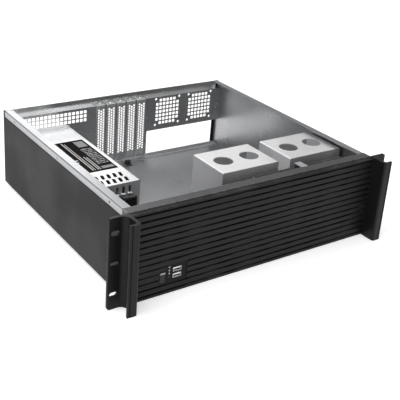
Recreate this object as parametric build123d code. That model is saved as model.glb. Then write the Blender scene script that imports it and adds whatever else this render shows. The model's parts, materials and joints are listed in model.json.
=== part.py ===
from build123d import *
import os

# Rackmount server case, three rack units high, with its top cover off.
# Millimetres. X runs to the right seen from the front and is 0 in the middle,
# Y runs from the front to the back and is 0 on the rear face of the ears,
# Z is up and is 0 halfway up the ears.

# Rack standard
rack_width = 482.6
rack_unit = 44.45
rack_units = 3
unit_gap = 0.85
slot_inset = 8.75
slot_length = 12.0
slot_height = 7.0

# Case body
case_inset = 27.3
case_depth = 406.0
bottom_clearance = 6.0
top_clearance = 0.5
sheet = 1.2
skin = 1.0
bend = 0.8
rim_flange = 12.5
rim_height = 11.0
running_gap = 0.3
screw_gap = 0.1
board_hole_radius = 1.6
board_hole_x = (0, 157.48, 281.94)
board_hole_y = (0, 154.94, 227.33)
board_inset_right = 9.9
board_inset_rear = 11.2
cover_hole_front = 48.0
cover_hole_rear = 44.0

# Front sheet and ribbed panel
front_sheet_depth = 14.0
fan_opening_margin = 2.5
air_slot_margin = 4.0
inset_window_lip = 1.0
panel_thickness = 8.0
panel_top_drop = 1.5
panel_bottom_lift = 0.5
groove_pitch = 9.28
groove_width = 2.2
groove_depth = 4.5
groove_count = 14
first_groove_drop = 4.0
rib_chamfer = 0.6
panel_proud = 3.0
panel_side_gap = 1.0

# Ears with handles
ear_thickness = 4.0
handle_reach = 28.0
handle_wall = 4.0
grip_thickness = 3.5
grip_width = 14.8
ear_side_gap = 0.2
ear_corner = 4.0
ear_edge = 0.8
grip_bead = 0.8
grip_bead_width = 1.6
grip_groove = 0.9
grip_groove_inset = 2.2
grip_fillet = 10.0
grip_corner = 3.0
skin_flange = 8.5
ear_screw_offset = 4.85
ear_screw_length = 4.0
ear_screw_pitch = 50.0

# Control inset
bezel_inset = 47.0
bezel_width = 44.0
bezel_step_width = 12.0
bezel_lift = 15.75
bezel_low_height = 21.5
bezel_height = 28.5
bezel_recess = 0.8
power_width = 8.6
power_height = 15.0
power_inset = 6.0
power_lift = 11.0
power_travel = 1.5
light_bar_height = 2.6
light_bar_inset = 0.4
power_cap = 5.0
power_proud = 0.6
power_round = 0.8
light_bar_depth = 1.2
indicator_inset = 16.1
indicator_radius = 1.2
indicator_pitch = 4.6
indicator_drop = 4.0
indicator_proud = 0.3
reset_drop = 1.0
reset_sunk = 0.2
reset_radius = 1.6
reset_travel = 1.0
usb_inset = 28.6
usb_width = 13.1
usb_height = 5.7
usb_wall = 0.4
usb_upper_lift = 19.3
usb_lower_lift = 9.9
usb_depth = 19.0
board_thickness = 1.6
board_front = 13.0
control_board_width = 52.0
control_board_height = 37.0
spacer_inset = 3.0
spacer_radius = 2.8
switch_width = 6.0
switch_depth = 2.2
plunger_width = 3.0
plunger_reach = 3.2
stem_gap = 0.8
stem_width = 3.6
reset_stem = 1.8
usb_gap = 0.15
tongue_gap = 0.6
tongue_thickness = 1.6
tongue_drop = 0.5
tongue_sunk = 1.0
tongue_root = 5.0

# Rear wall
rear_recess = 12.0
ledge_drop = 12.0
wall_foot = 10.0
corner_gap = 8.0
fold_gap = 4.0
io_width = 158.75
io_height = 44.45
io_margin = 0.5
io_lift = 5.1
slot_pitch = 20.32
slot_to_io = 13.2
cover_width = 18.4
cover_sheet = 0.9
cover_foot_gap = 4.0
cover_vent_columns = 3
cover_vent_rows = 9
cover_vent_pitch_x = 4.1
cover_vent_pitch_z = 10.0
cover_vent_size = 4.2
slot_opening_width = 14.5
slot_opening_height = 93.0
slot_opening_lift = 15.5
vent_hole = 5.4
vent_pitch = 7.3
vent_columns = 16
vent_rows = 3
vent_offset = 27.5
vent_to_slot = 20.0
vent_top_drop = 19.2
fan_grid = 7
fan_grid_pitch = 7.3
fan_hole = 5.3
rear_fan_span = 50.0
rear_fan_screw = 2.2
rear_fan_inset = 46.2
rear_fan_pitch = 70.8
rear_fan_drop = 40.8
board_screw_room = 2.5
slot_screw_offset = 0.6
slot_screw_length = 5.0

# Drive cages
cage_width = 103.6
cage_depth = 76.1
cage_front = 59.7
cage_top = 58.0
cage_wall_gap = 4.55
cage_pitch = 126.4
cage_hole_radius = 15.1
cage_hole_offset = 24.0
cage_lip = 20.0
cage_foot = 12.0
cage_screw_inset = 9.35
cage_screw_end = 14.0
floor_screw_length = 2.4
drive_pitch = 54.0
drive_rows = 2
drive_hole_span = 60.0
drive_hole_radius = 1.8
first_drive_lift = 14.5
drive_offset = 2.0

# Front fans
front_fan_size = 80.0
front_fan_depth = 25.0
front_fan_inset = 72.8
front_fan_pitch = 94.0
front_fan_top_drop = 4.0
front_fan_hole_inset = 4.25
post_width = 12.0
post_depth = 16.0
post_tab_reach = 30.0
post_tab_drop = 20.0

# Fans
fan_wall = 1.8
fan_tunnel = 1.4
fan_flange = 3.5
fan_corner = 3.5
fan_hub_share = 0.2
fan_arm = 2.5
fan_arm_half = 1.6
fan_shaft_start = 4.5
fan_shaft_radius = 1.5
fan_fit = 0.08
fan_tip_gap = 1.0
fan_rotor_front = 2.0
fan_rotor_gap = 0.7
fan_blades = 7
fan_chord_share = 0.13
fan_blade_margin = 1.5
fan_blade_arch = 2.2
fan_blade_thickness = 1.5

# Power supply
psu_width = 106.0
psu_height = 81.8
psu_length = 235.0
psu_sheet = 1.0
psu_side_gap = 5.8
psu_fan_size = 60.0
psu_fan_depth = 25.0
psu_fan_hole_inset = 5.0
psu_fan_offset = 17.0
guard_rings = (9.0, 18.0, 27.0)
guard_wire = 1.6
guard_eye = 3.4
guard_thickness = 1.2
psu_inlet_offset = 34.0
inlet_lift = 29.0
inlet_width = 22.0
inlet_height = 30.8
inlet_flange = 2.4
inlet_edge = 1.5
inlet_body_width = 19.8
inlet_body_height = 27.2
inlet_body_depth = 18.0
inlet_mouth_width = 16.4
inlet_mouth_height = 24.0
inlet_mouth_depth = 15.5
inlet_mouth_corner = 4.3
pin_width = 4.0
pin_height = 2.0
pin_sunk = 0.5
pin_left = -4.0
pin_right = 3.5
pin_rise = 7.0
switch_rise = 30.0
switch_frame_width = 15.0
switch_frame_height = 21.2
switch_flange = 1.8
switch_body_width = 12.8
switch_body_height = 19.2
switch_body_depth = 14.0
switch_well_width = 10.8
switch_well_height = 17.6
switch_well_depth = 11.0
pivot_depth = 3.0
pivot_radius = 1.0
rocker_width = 9.8
rocker_half = 7.6
rocker_proud = 3.4
rocker_dish = 1.1
rocker_edge = 1.6
rocker_root = 4.5
rocker_root_half = 3.0
fan_screw_length = 8.0
psu_screw_length = 5.0
psu_screw_inset = 6.0
psu_opening_margin = 5.0
psu_opening_corner = 10.0
psu_board_lift = 5.0
psu_board_gap = 6.0
psu_board_room = 8.0
psu_foot_inset = 5.0
psu_foot_width = 4.0
sink_places = (24.0, 76.0)
sink_front = 20.0
sink_length = 150.0
sink_height = 50.0
sink_wall = 2.4
fin_count = 5
fin_reach = 7.6
fin_start = 8.0
fin_pitch = 9.5
fin_thickness = 1.4
transformer_front = 95.0
core_width = 34.0
core_depth = 16.0
core_height = 32.0
core_lift = 2.0
winding_radius = 15.0
winding_height = 28.0
capacitor_front = 45.0
capacitor_pitch = 105.0
capacitor_radius = 12.5
capacitor_height = 40.0
bracket_inset = 8.0
bracket_width = 32.0
bracket_foot = 12.0
bracket_height = 14.0
bracket_screw_inset = 8.0
bracket_screw_back = 7.0
label_width = 52.0
label_length = 124.0
label_front = 212.0
label_inset = 8.0
label_thickness = 0.3
psu_vent_length = 15.0
psu_vent_width = 5.2
psu_vent_pitch = 10.2
psu_vent_columns = 5
psu_vent_rows = 2
psu_vent_row_pitch = 18.0
psu_vent_front = 12.5
psu_vent_corner = 1.5
psu_vent_slant = 78
psu_vent_offset = 16.0
psu_slot_count = 6
psu_slot_inset = 17.6
psu_slot_pitch = 10.6
psu_slot_width = 4.0
psu_slot_top = 5.5
psu_slot_length = 11.5
psu_lip_width = 6.4
psu_lip_reach = 2.6
psu_lip_gap = 0.6
socket_inset = 22.0
socket_drop = 40.5
socket_width = 23.0
socket_height = 42.0
socket_depth = 12.0
socket_lip = 3.5
socket_columns = 4
socket_rows = 8
socket_pitch = 4.6
socket_hole = 3.0
socket_hole_depth = 6.0
socket_round = 1.5
rocker_tilt = 8.0

# Cable clip
clip_x = 6.0
clip_inset = 16.0
clip_width = 8.0
clip_radius = 4.0
clip_wall = 1.2

# Fasteners
head_radius = 3.0
head_height = 1.8
shank_radius = 1.45

# Places worked out from the sizes above
ear_height = rack_units * rack_unit - unit_gap
half_height = ear_height / 2
case_bottom = -half_height + bottom_clearance
case_top = half_height - top_clearance
skin_top = case_top - rim_height
half_width = rack_width / 2 - case_inset
wall_out = half_width - skin
wall_in = wall_out - sheet
floor_top = case_bottom + sheet
panel_back = sheet - 0.2
panel_front = -ear_thickness - panel_proud
sheet_back = panel_back + sheet
front_end = panel_back + front_sheet_depth
panel_half = wall_out - panel_side_gap
ear_inner = panel_half + ear_side_gap
rear_wall = case_depth - rear_recess
wall_back = rear_wall + sheet
ledge_top = case_top - ledge_drop
tray_end = case_depth - skin
cover_tab = tray_end - sheet - rear_wall - running_gap
io_right = wall_in - io_margin
io_left = io_right - io_width
io_bottom = floor_top + io_lift
rear_fan_z = case_top - rear_fan_drop
psu_left = -wall_in + psu_side_gap
psu_right = psu_left + psu_width
psu_front = rear_wall - psu_length
psu_top = floor_top + psu_height
psu_fan_x = (psu_left + psu_right) / 2 + psu_fan_offset
psu_fan_span = psu_fan_size - 2 * psu_fan_hole_inset
front_fan_span = front_fan_size - 2 * front_fan_hole_inset
psu_fan_z = (floor_top + psu_top) / 2
psu_inlet_x = (psu_left + psu_right) / 2 - psu_inlet_offset
front_fan_z = case_top - front_fan_top_drop - front_fan_size / 2
front_fan_x = (wall_in - front_fan_inset - front_fan_pitch, wall_in - front_fan_inset)
rear_fan_x = (wall_in - rear_fan_inset - rear_fan_pitch, wall_in - rear_fan_inset)
vent_right = psu_right + vent_offset
slot_last_x = io_left - slot_to_io
slot_count = int((slot_last_x - vent_right - vent_to_slot) / slot_pitch) + 1
slot_x = [slot_last_x - slot_pitch * i for i in range(slot_count)]
cage_right_x = wall_in - cage_wall_gap - cage_width / 2
cage_left_x = cage_right_x - cage_pitch
bezel_left = -wall_out + bezel_inset
bezel_right = bezel_left + bezel_width
bezel_step = bezel_left + bezel_step_width
bezel_bottom = -half_height + bezel_lift
bezel_low_top = bezel_bottom + bezel_low_height
bezel_top = bezel_bottom + bezel_height
power_x = bezel_left + power_inset
power_z = bezel_bottom + power_lift
indicator_x = bezel_left + indicator_inset
usb_x = bezel_left + usb_inset
usb_upper_z = bezel_bottom + usb_upper_lift
usb_lower_z = bezel_bottom + usb_lower_lift


# Building blocks

def block(x, y, z):
    """Box between two values on each axis."""
    size = [high - low for low, high in (x, y, z)]
    middle = [(low + high) / 2 for low, high in (x, y, z)]
    return Pos(*middle) * Box(*size)


def outline(points):
    """Flat face inside a closed outline of straight edges."""
    return make_face(Polyline(*points, close=True))


def along_x(section, low, high):
    """A section drawn in Y and Z, carried from one X to another."""
    return extrude(Plane.YZ.offset(low) * section, high - low)


def along_y(section, low, high):
    """A section drawn in X and Z, carried from one Y to another."""
    return extrude(Plane.XZ.offset(-low) * section, low - high)


def along_z(section, low, high):
    """A section drawn in X and Y, carried from one Z to another."""
    return extrude(Plane.XY.offset(low) * section, high - low)


def rod_y(x, z, radius, low, high):
    """Round bar along Y."""
    return along_y(Pos(x, z) * Circle(radius), low, high)


def rod_x(y, z, radius, low, high):
    """Round bar along X."""
    return along_x(Pos(y, z) * Circle(radius), low, high)


def rod_z(x, y, radius, low, high):
    """Round bar along Z."""
    return along_z(Pos(x, y) * Circle(radius), low, high)


def cube_y(x, z, width, low, high):
    """Square bar along Y."""
    return along_y(Pos(x, z) * Rectangle(width, width), low, high)


def cube_z(x, y, width, low, high):
    """Square bar along Z."""
    return along_z(Pos(x, y) * Rectangle(width, width), low, high)


def offset_path(path, distance):
    """The path moved sideways to its left, with mitred corners."""
    points = [Vector(*point) for point in path]
    legs = [(b - a).normalized() for a, b in zip(points, points[1:])]
    normals = [Vector(-leg.Y, leg.X) for leg in legs]
    moved = [points[0] + normals[0] * distance]
    for corner, before, after in zip(points[1:-1], normals, normals[1:]):
        bisector = (before + after).normalized()
        moved.append(corner + bisector * (distance / bisector.dot(before)))
    moved.append(points[-1] + normals[-1] * distance)
    return moved


def folded(path, thickness):
    """Section of a bent sheet: path is its outer face and the wall lies on its left."""
    middle = offset_path(path, thickness / 2)
    return trace(FilletPolyline(*middle, radius=bend + thickness / 2), thickness)


def pierced(plate, holes):
    """Flat face with a list of hole faces in it."""
    return Face(plate.face().outer_wire(), [hole.face().outer_wire() for hole in holes])


def plate_face(width, height, centre):
    """Flat rectangular face about a centre."""
    return Pos(*centre) * Rectangle(width, height)


def mirrored(part):
    """The same piece on the other side of the middle plane."""
    return mirror(part, about=Plane.YZ)


def screw_y(x, z, seat, length, direction):
    """Hexagon screw along Y: head behind the seat, shank in the given direction."""
    head = Pos(x, z) * RegularPolygon(head_radius, 6)
    shank = Pos(x, z) * RegularPolygon(shank_radius, 6)
    return (along_y(head, *sorted((seat, seat - direction * head_height)))
            + along_y(shank, *sorted((seat, seat + direction * length))))


def screw_z(x, y, seat, length):
    """Hexagon screw that points down from its seat."""
    head = along_z(Pos(x, y) * RegularPolygon(head_radius, 6), seat, seat + head_height)
    return head + along_z(Pos(x, y) * RegularPolygon(shank_radius, 6), seat - length, seat)


def screw_hole():
    """Outline of the eight-sided hole that a head hides, with the shank's clearance."""
    return RegularPolygon(shank_radius + screw_gap, 8, major_radius=False)


def screw_hole_y(x, z, low, high):
    """Hidden screw hole along Y."""
    return along_y(Pos(x, z) * screw_hole(), low, high)


def screw_hole_z(x, y, low, high):
    """Hidden screw hole along Z."""
    return along_z(Pos(x, y) * screw_hole(), low, high)


def group(parts):
    """Several separate solids kept in one node."""
    return Compound(children=[solid for part in parts for solid in part.solids()])


# Case body

def base_tray():
    """Floor, side walls and rim flanges folded from one galvanised sheet."""
    tip = wall_out - rim_flange
    path = [(-tip, case_top), (-wall_out, case_top), (-wall_out, case_bottom),
            (wall_out, case_bottom), (wall_out, case_top), (tip, case_top)]
    tray = along_y(folded(path, sheet), panel_back, tray_end)
    tray -= block((-wall_out - 1, wall_out + 1), (panel_back - 1, front_end), (floor_top, case_top + 1))
    end = rear_fold_end() + running_gap
    tray -= block((-end, end), (wall_back + fold_gap - running_gap, tray_end + 1),
                  (case_top - sheet - running_gap, case_top + 1))
    for y in cover_hole_y():
        tray -= rod_x(y, case_top - rim_height / 2, shank_radius + running_gap, -half_width, half_width)
    for x, y in board_holes():
        tray -= rod_z(x, y, board_hole_radius, case_bottom - 1, floor_top + 1)
    for x, y in cage_screws() + bracket_screws():
        tray -= screw_hole_z(x, y, case_bottom - 1, floor_top + 1)
    return tray


def rear_fold_end():
    """Half length of the rear upstand, between the skins' rear flanges."""
    return half_width - corner_gap - 1


def cover_hole_y():
    """Screw holes of the top cover, along each rim."""
    last = case_depth - cover_hole_rear
    return [cover_hole_front, (cover_hole_front + last) / 2, last]


def board_holes():
    """Mounting holes of a full-size board, three columns by three rows."""
    right = io_right - board_inset_right
    back = rear_wall - board_inset_rear
    return [(right - x, back - y) for x in board_hole_x for y in board_hole_y]


def side_skin():
    """Black outer sheet of the right side, wrapped round both ends."""
    height = (case_bottom, skin_top)
    side = block((wall_out, half_width), (0, case_depth), height)
    front = block((wall_out, wall_out + skin_flange), (0, skin), (case_bottom, case_top))
    rear = block((half_width - corner_gap, half_width), (tray_end, case_depth), (case_bottom, case_top))
    part = side + front + rear
    for z in ear_screw_z():
        part -= screw_hole_y(ear_screw_x(), z, -1, skin + 1)
    return part


def ear_screw_x():
    """Line of the screws that hold an ear to its skin."""
    return wall_out + ear_screw_offset


def ear_screw_z():
    """Heights of the ear screws."""
    return [-ear_screw_pitch, 0, ear_screw_pitch]


def front_sheet():
    """Inner front pan: upright plate with folds backwards on all four sides."""
    outer = block((-wall_out, wall_out), (panel_back, front_end), (floor_top, case_top))
    inner = block((-wall_in, wall_in), (sheet_back, front_end + 1), (floor_top + sheet, case_top - sheet))
    part = outer - inner
    rims = part.edges().filter_by(Axis.X).group_by(Axis.Y)[0].sort_by(Axis.Z)
    part = fillet([rims[0], rims[-1]], bend)
    through = (panel_back - 1, sheet_back + 1)
    for x in front_fan_x:
        part -= rod_y(x, front_fan_z, front_fan_size / 2 - fan_opening_margin, *through)
        for dx, dz in square_corners(front_fan_span):
            part -= screw_hole_y(x + dx, front_fan_z + dz, *through)
    part -= along_y(bezel_outline(-inset_window_lip), *through)
    for x, z in spacer_places():
        part -= screw_hole_y(x, z, *through)
    return part


def square_corners(span):
    """Offsets of four corners of a square."""
    return [(i * span / 2, j * span / 2) for i in (-1, 1) for j in (-1, 1)]


def front_panel():
    """Ribbed face plate with air slots behind the fans and a hole for the control inset."""
    top = case_top - panel_top_drop
    bottom = -half_height + panel_bottom_lift
    points = [(panel_back, bottom), (panel_back, top), (panel_front + rib_chamfer, top)]
    points.append((panel_front, top - rib_chamfer))
    for i in range(groove_count):
        points += groove_points(top - first_groove_drop - groove_pitch * i)
    points += [(panel_front, bottom + rib_chamfer), (panel_front + rib_chamfer, bottom)]
    part = along_x(outline(points), -panel_half, panel_half)
    part -= along_y(bezel_outline(running_gap / 2), panel_front - 1, panel_back + 1)
    for x in front_fan_x:
        for i in range(groove_count):
            z = top - first_groove_drop - groove_pitch * i
            if abs(z - front_fan_z) < front_fan_size / 2 - groove_width:
                reach = front_fan_size / 2 - air_slot_margin
                part -= block((x - reach, x + reach), (panel_front, panel_back + 1),
                              (z - groove_width / 4, z + groove_width / 4))
    return part


def groove_points(z):
    """One groove of the panel section, from its upper lip to its lower lip."""
    half = groove_width / 2
    deep = panel_front + groove_depth
    return [(panel_front, z + half + rib_chamfer), (panel_front + rib_chamfer, z + half),
            (deep, z + half * 0.6), (deep, z - half * 0.6),
            (panel_front + rib_chamfer, z - half), (panel_front, z - half - rib_chamfer)]


# Ears

def ear():
    """Right ear with its handle, one extruded profile with three rack slots."""
    outer = rack_width / 2
    web = ear_inner + handle_wall
    tip = ear_inner + grip_width
    front = -ear_thickness - handle_reach
    back = front + grip_thickness
    groove = tip - grip_groove_inset
    points = [(ear_inner, 0), (outer, 0), (outer, -ear_thickness), (web, -ear_thickness), (web, back),
              (tip - grip_bead_width, back), (tip - grip_bead_width, back + grip_bead),
              (tip, back + grip_bead), (tip, front), (groove, front), (groove, front + grip_groove),
              (groove - grip_bead_width, front + grip_groove), (groove - grip_bead_width, front),
              (ear_inner, front)]
    profile = outline(points)
    corners = {(web, -ear_thickness): grip_fillet, (web, back): grip_corner, (ear_inner, front): grip_corner}
    for (x, y), radius in corners.items():
        profile = fillet(profile.vertices().sort_by_distance((x, y, 0))[0], radius)
    for place in ((tip, front), (tip, back + grip_bead), (outer, -ear_thickness)):
        profile = chamfer(profile.vertices().sort_by_distance((*place, 0))[0], ear_edge)
    part = along_z(profile, -half_height, half_height)
    part &= along_y(ear_silhouette(), front - 1, 1)
    for z in (-rack_unit, 0, rack_unit):
        slot = Pos(rack_width / 2 - slot_inset, z) * SlotOverall(slot_length, slot_height)
        part -= along_y(slot, -ear_thickness - 1, 1)
    for z in ear_screw_z():
        part -= screw_hole_y(ear_screw_x(), z, skin - ear_screw_length - screw_gap, 1)
    return part


def ear_silhouette():
    """Front view of an ear, with the two outer corners of its plate rounded."""
    width = rack_width / 2 - ear_inner
    face = Pos(ear_inner + width / 2, 0) * Rectangle(width, ear_height)
    return fillet(face.vertices().group_by(Axis.X)[-1], ear_corner)


def ear_screws():
    """Screws through each skin flange into the back of its ear."""
    right = [screw_y(ear_screw_x(), z, skin, ear_screw_length, -1) for z in ear_screw_z()]
    return group(right + [mirrored(screw) for screw in right])


# Control inset

def bezel_outline(grow):
    """Stepped outline of the control inset, grown by a clearance."""
    low, high = bezel_left - grow, bezel_right + grow
    return outline([(low, bezel_bottom - grow), (high, bezel_bottom - grow), (high, bezel_top + grow),
                    (bezel_step - grow, bezel_top + grow), (bezel_step - grow, bezel_low_top + grow),
                    (low, bezel_low_top + grow)])


def indicator_z():
    """Heights of the indicator lights, above the reset button."""
    return [bezel_top - indicator_drop - indicator_pitch * i for i in range(3)]


def reset_z():
    """Height of the reset button."""
    return indicator_z()[-1] - indicator_pitch - reset_drop


def control_bezel():
    """Black insert with openings for the buttons, lights and sockets."""
    face = panel_front + bezel_recess
    part = along_y(bezel_outline(0), face, panel_back)
    through = (face - 1, panel_back + 1)
    half_w, half_h = power_width / 2 + running_gap, power_height / 2 + running_gap
    part -= block((power_x - half_w, power_x + half_w), through, (power_z - half_h, power_z + half_h))
    for z in indicator_z():
        part -= along_y(Pos(indicator_x, z) * lens_outline(screw_gap), *through)
    part -= rod_y(indicator_x, reset_z(), reset_radius + running_gap, *through)
    for z in (usb_upper_z, usb_lower_z):
        half_w, half_h = usb_width / 2 + usb_gap, usb_height / 2 + usb_gap
        part -= block((usb_x - half_w, usb_x + half_w), through, (z - half_h, z + half_h))
    return part


def power_button():
    """Power button cap with its stem; the light bar sits in its top end."""
    face = panel_front + bezel_recess - power_proud
    half_w, half_h = power_width / 2, power_height / 2
    cap = block((power_x - half_w, power_x + half_w), (face, face + power_cap),
                (power_z - half_h, power_z + half_h))
    cap = chamfer(cap.edges().filter_by(Axis.Z).group_by(Axis.Y)[0], power_round)
    bar = power_z + half_h - light_bar_height
    cap -= block((power_x - half_w - 1, power_x + half_w + 1), (face - 1, face + light_bar_depth),
                 (bar, power_z + half_h + 1))
    end = board_front - plunger_reach - power_travel - stem_gap
    return cap + cube_y(power_x, power_z, stem_width, face + power_cap, end)


def power_light_bar():
    """Light pipe across the top of the power button."""
    face = panel_front + bezel_recess - power_proud
    half_w, top = power_width / 2 - light_bar_inset, power_z + power_height / 2
    return block((power_x - half_w, power_x + half_w), (face + light_bar_inset / 2, face + light_bar_depth),
                 (top - light_bar_height, top - light_bar_inset / 2))


def reset_button():
    """Small round reset button with a thinner stem."""
    face = panel_front + bezel_recess + reset_sunk
    cap = rod_y(indicator_x, reset_z(), reset_radius, face, panel_back)
    end = board_front - plunger_reach - reset_travel - stem_gap
    return cap + cube_y(indicator_x, reset_z(), reset_stem, panel_back, end)


def button_switches():
    """Push switches on the control board, one behind each button."""
    places = ((power_x, power_z), (indicator_x, reset_z()))
    bodies = []
    for x, z in places:
        body = cube_y(x, z, switch_width, board_front - switch_depth, board_front)
        tip = cube_y(x, z, plunger_width, board_front - plunger_reach, board_front - switch_depth)
        bodies.append(body + tip)
    return group(bodies)


def indicator_lenses():
    """Three light pipes from the bezel back to the control board."""
    face = panel_front + bezel_recess - indicator_proud
    return group([along_y(Pos(indicator_x, z) * lens_outline(0), face, board_front) for z in indicator_z()])


def lens_outline(grow):
    """Eight-sided outline of a light pipe, grown by a clearance."""
    return RegularPolygon(indicator_radius + grow, 8, major_radius=False)


def usb_shell(z):
    """Plated shell of one socket, open at its front."""
    face = panel_front + bezel_recess
    half_w, half_h = usb_width / 2, usb_height / 2
    shell = block((usb_x - half_w, usb_x + half_w), (face, face + usb_depth), (z - half_h, z + half_h))
    inner_w, inner_h = half_w - usb_wall, half_h - usb_wall
    hollow = block((usb_x - inner_w, usb_x + inner_w), (face - 1, face + usb_depth - usb_wall),
                   (z - inner_h, z + inner_h))
    return shell - hollow


def usb_tongue(z):
    """White contact tongue inside one socket."""
    face = panel_front + bezel_recess
    half_w, top = usb_width / 2 - usb_wall, z + usb_height / 2 - usb_wall
    back = face + usb_depth - usb_wall
    high = top - tongue_drop
    tongue = block((usb_x - half_w + tongue_gap, usb_x + half_w - tongue_gap), (face + tongue_sunk, back),
                   (high - tongue_thickness, high))
    root = block((usb_x - half_w, usb_x + half_w), (back - tongue_root, back),
                 (z - usb_height / 2 + usb_wall, top))
    return tongue + root


def control_board():
    """Circuit board that carries the front sockets and switches."""
    plate = plate_face(control_board_width, control_board_height, control_board_centre())
    holes = [Pos(x, z) * screw_hole() for x, z in spacer_places()]
    return along_y(pierced(plate, holes), board_front, board_front + board_thickness)


def control_board_centre():
    """Middle of the control board in X and Z."""
    return ((bezel_left + bezel_right) / 2, (bezel_bottom + bezel_top) / 2)


def spacer_places():
    """Four corners of the control board."""
    x, z = control_board_centre()
    across = control_board_width / 2 - spacer_inset
    up = control_board_height / 2 - spacer_inset
    return [(x + i * across, z + j * up) for i in (-1, 1) for j in (-1, 1)]


def board_spacers():
    """Hexagon spacers between the front sheet and the control board."""
    spacers = []
    for x, z in spacer_places():
        ring = RegularPolygon(spacer_radius, 6) - screw_hole()
        spacers.append(along_y(Pos(x, z) * ring, sheet_back, board_front))
    return group(spacers)


def board_screws():
    """Screws that hold the control board through its spacers."""
    seat = board_front + board_thickness
    return group([screw_y(x, z, seat, seat - panel_back, -1) for x, z in spacer_places()])


# Rear wall

def grid_holes(centre, columns, rows, pitch, size):
    """Square holes in rows and columns about a centre."""
    holes = []
    for i in range(columns):
        for j in range(rows):
            x = centre[0] + (i - (columns - 1) / 2) * pitch
            z = centre[1] + (j - (rows - 1) / 2) * pitch
            holes.append(Pos(x, z) * Rectangle(size, size))
    return holes


def fan_grille_holes(x):
    """Grid of one rear fan place: square holes, with round screw holes at the corners."""
    last = (fan_grid - 1) / 2 * fan_grid_pitch
    holes = [hole for hole in grid_holes((x, rear_fan_z), fan_grid, fan_grid, fan_grid_pitch, fan_hole)
             if not at_corner(hole.center(), x, last)]
    screws = [Pos(x + dx, rear_fan_z + dz) * Circle(rear_fan_screw)
              for dx, dz in square_corners(rear_fan_span)]
    return holes + screws


def at_corner(place, x, last):
    """Whether a grid hole stands where a screw hole goes."""
    return abs(abs(place.X - x) - last) < 1 and abs(abs(place.Y - rear_fan_z) - last) < 1


def psu_cut_out():
    """Opening behind the power supply, with corners left for its screws."""
    face = plate_face(psu_width - 2 * psu_opening_margin, psu_height - 2 * psu_opening_margin,
                      ((psu_left + psu_right) / 2, (floor_top + psu_top) / 2))
    return chamfer(face.vertices(), psu_opening_corner)


def board_aperture():
    """Opening for the board's connectors, which runs out at the wall beside it."""
    end = wall_in + 1
    return plate_face(end - io_left, io_height, ((io_left + end) / 2, io_bottom + io_height / 2))


def rear_holes():
    """Every opening that lies inside the upright part of the rear wall."""
    vent_centre = (vent_right - (vent_columns - 1) / 2 * vent_pitch,
                   case_top - vent_top_drop - (vent_rows - 1) / 2 * vent_pitch)
    holes = grid_holes(vent_centre, vent_columns, vent_rows, vent_pitch, vent_hole)
    for x in rear_fan_x:
        holes += fan_grille_holes(x)
    middle = floor_top + slot_opening_lift + slot_opening_height / 2
    holes += [Pos(x, middle) * Rectangle(slot_opening_width, slot_opening_height) for x in slot_x]
    holes.append(psu_cut_out())
    holes += [Pos(x, z) * screw_hole() for x, z in psu_screw_places()]
    return holes


def rear_panel():
    """Rear wall set in from the back edge, with a ledge and an upstand above it."""
    top = ledge_top - sheet
    height = top - floor_top
    face = plate_face(2 * wall_in, height, (0, floor_top + height / 2))
    face = fillet(face.vertices().group_by(Axis.Y)[0], bend + running_gap)
    plate = along_y(pierced(face, rear_holes()) - board_aperture(), rear_wall, wall_back)
    foot = block((psu_right + 1, wall_in - 2 * bend), (rear_wall - wall_foot, rear_wall),
                 (floor_top, floor_top + sheet))
    ledge = block((-wall_in, wall_in), (rear_wall, tray_end), (top, ledge_top))
    end = rear_fold_end()
    upstand = block((-end, end), (tray_end - sheet, tray_end), (ledge_top, case_top))
    tabs = block((end - sheet, end), (wall_back + fold_gap, tray_end), (ledge_top, case_top))
    part = plate + foot + ledge + upstand + tabs + mirrored(tabs)
    for x in slot_x:
        part -= screw_hole_z(x, slot_screw_y(), top - 1, ledge_top + 1)
    for x, y in board_holes():
        if y > rear_wall - wall_foot - board_screw_room:
            part -= cube_z(x, y, 2 * board_screw_room, case_bottom, floor_top + sheet + 1)
    return part


def slot_screw_y():
    """Line of the screws along the ledge."""
    return rear_wall + cover_tab / 2 + slot_screw_offset


def slot_cover(x):
    """Vented cover of one expansion slot, with its tab bent over the ledge."""
    low, high = floor_top + cover_foot_gap, ledge_top + cover_sheet
    middle = floor_top + slot_opening_lift + slot_opening_height / 2
    holes = []
    for i in range(cover_vent_columns):
        shift = (i % 2 - 0.5) * cover_vent_pitch_z / 2
        for j in range(cover_vent_rows):
            across = x + (i - (cover_vent_columns - 1) / 2) * cover_vent_pitch_x
            up = middle + (j - (cover_vent_rows - 1) / 2) * cover_vent_pitch_z + shift
            holes.append(Pos(across, up) * Rot(0, 0, 45) * Rectangle(cover_vent_size, cover_vent_size))
    face = plate_face(cover_width, high - low, (x, (low + high) / 2))
    plate = along_y(pierced(face, holes), rear_wall - cover_sheet, rear_wall)
    half = cover_width / 2
    tab = block((x - half, x + half), (rear_wall, rear_wall + cover_tab), (ledge_top, high))
    return plate + tab - screw_hole_z(x, slot_screw_y(), ledge_top - 1, high + 1)


def slot_screws():
    """One screw through each slot cover's tab into the ledge."""
    seat = ledge_top + cover_sheet
    return group([screw_z(x, slot_screw_y(), seat, slot_screw_length) for x in slot_x])


# Drive cages

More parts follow.
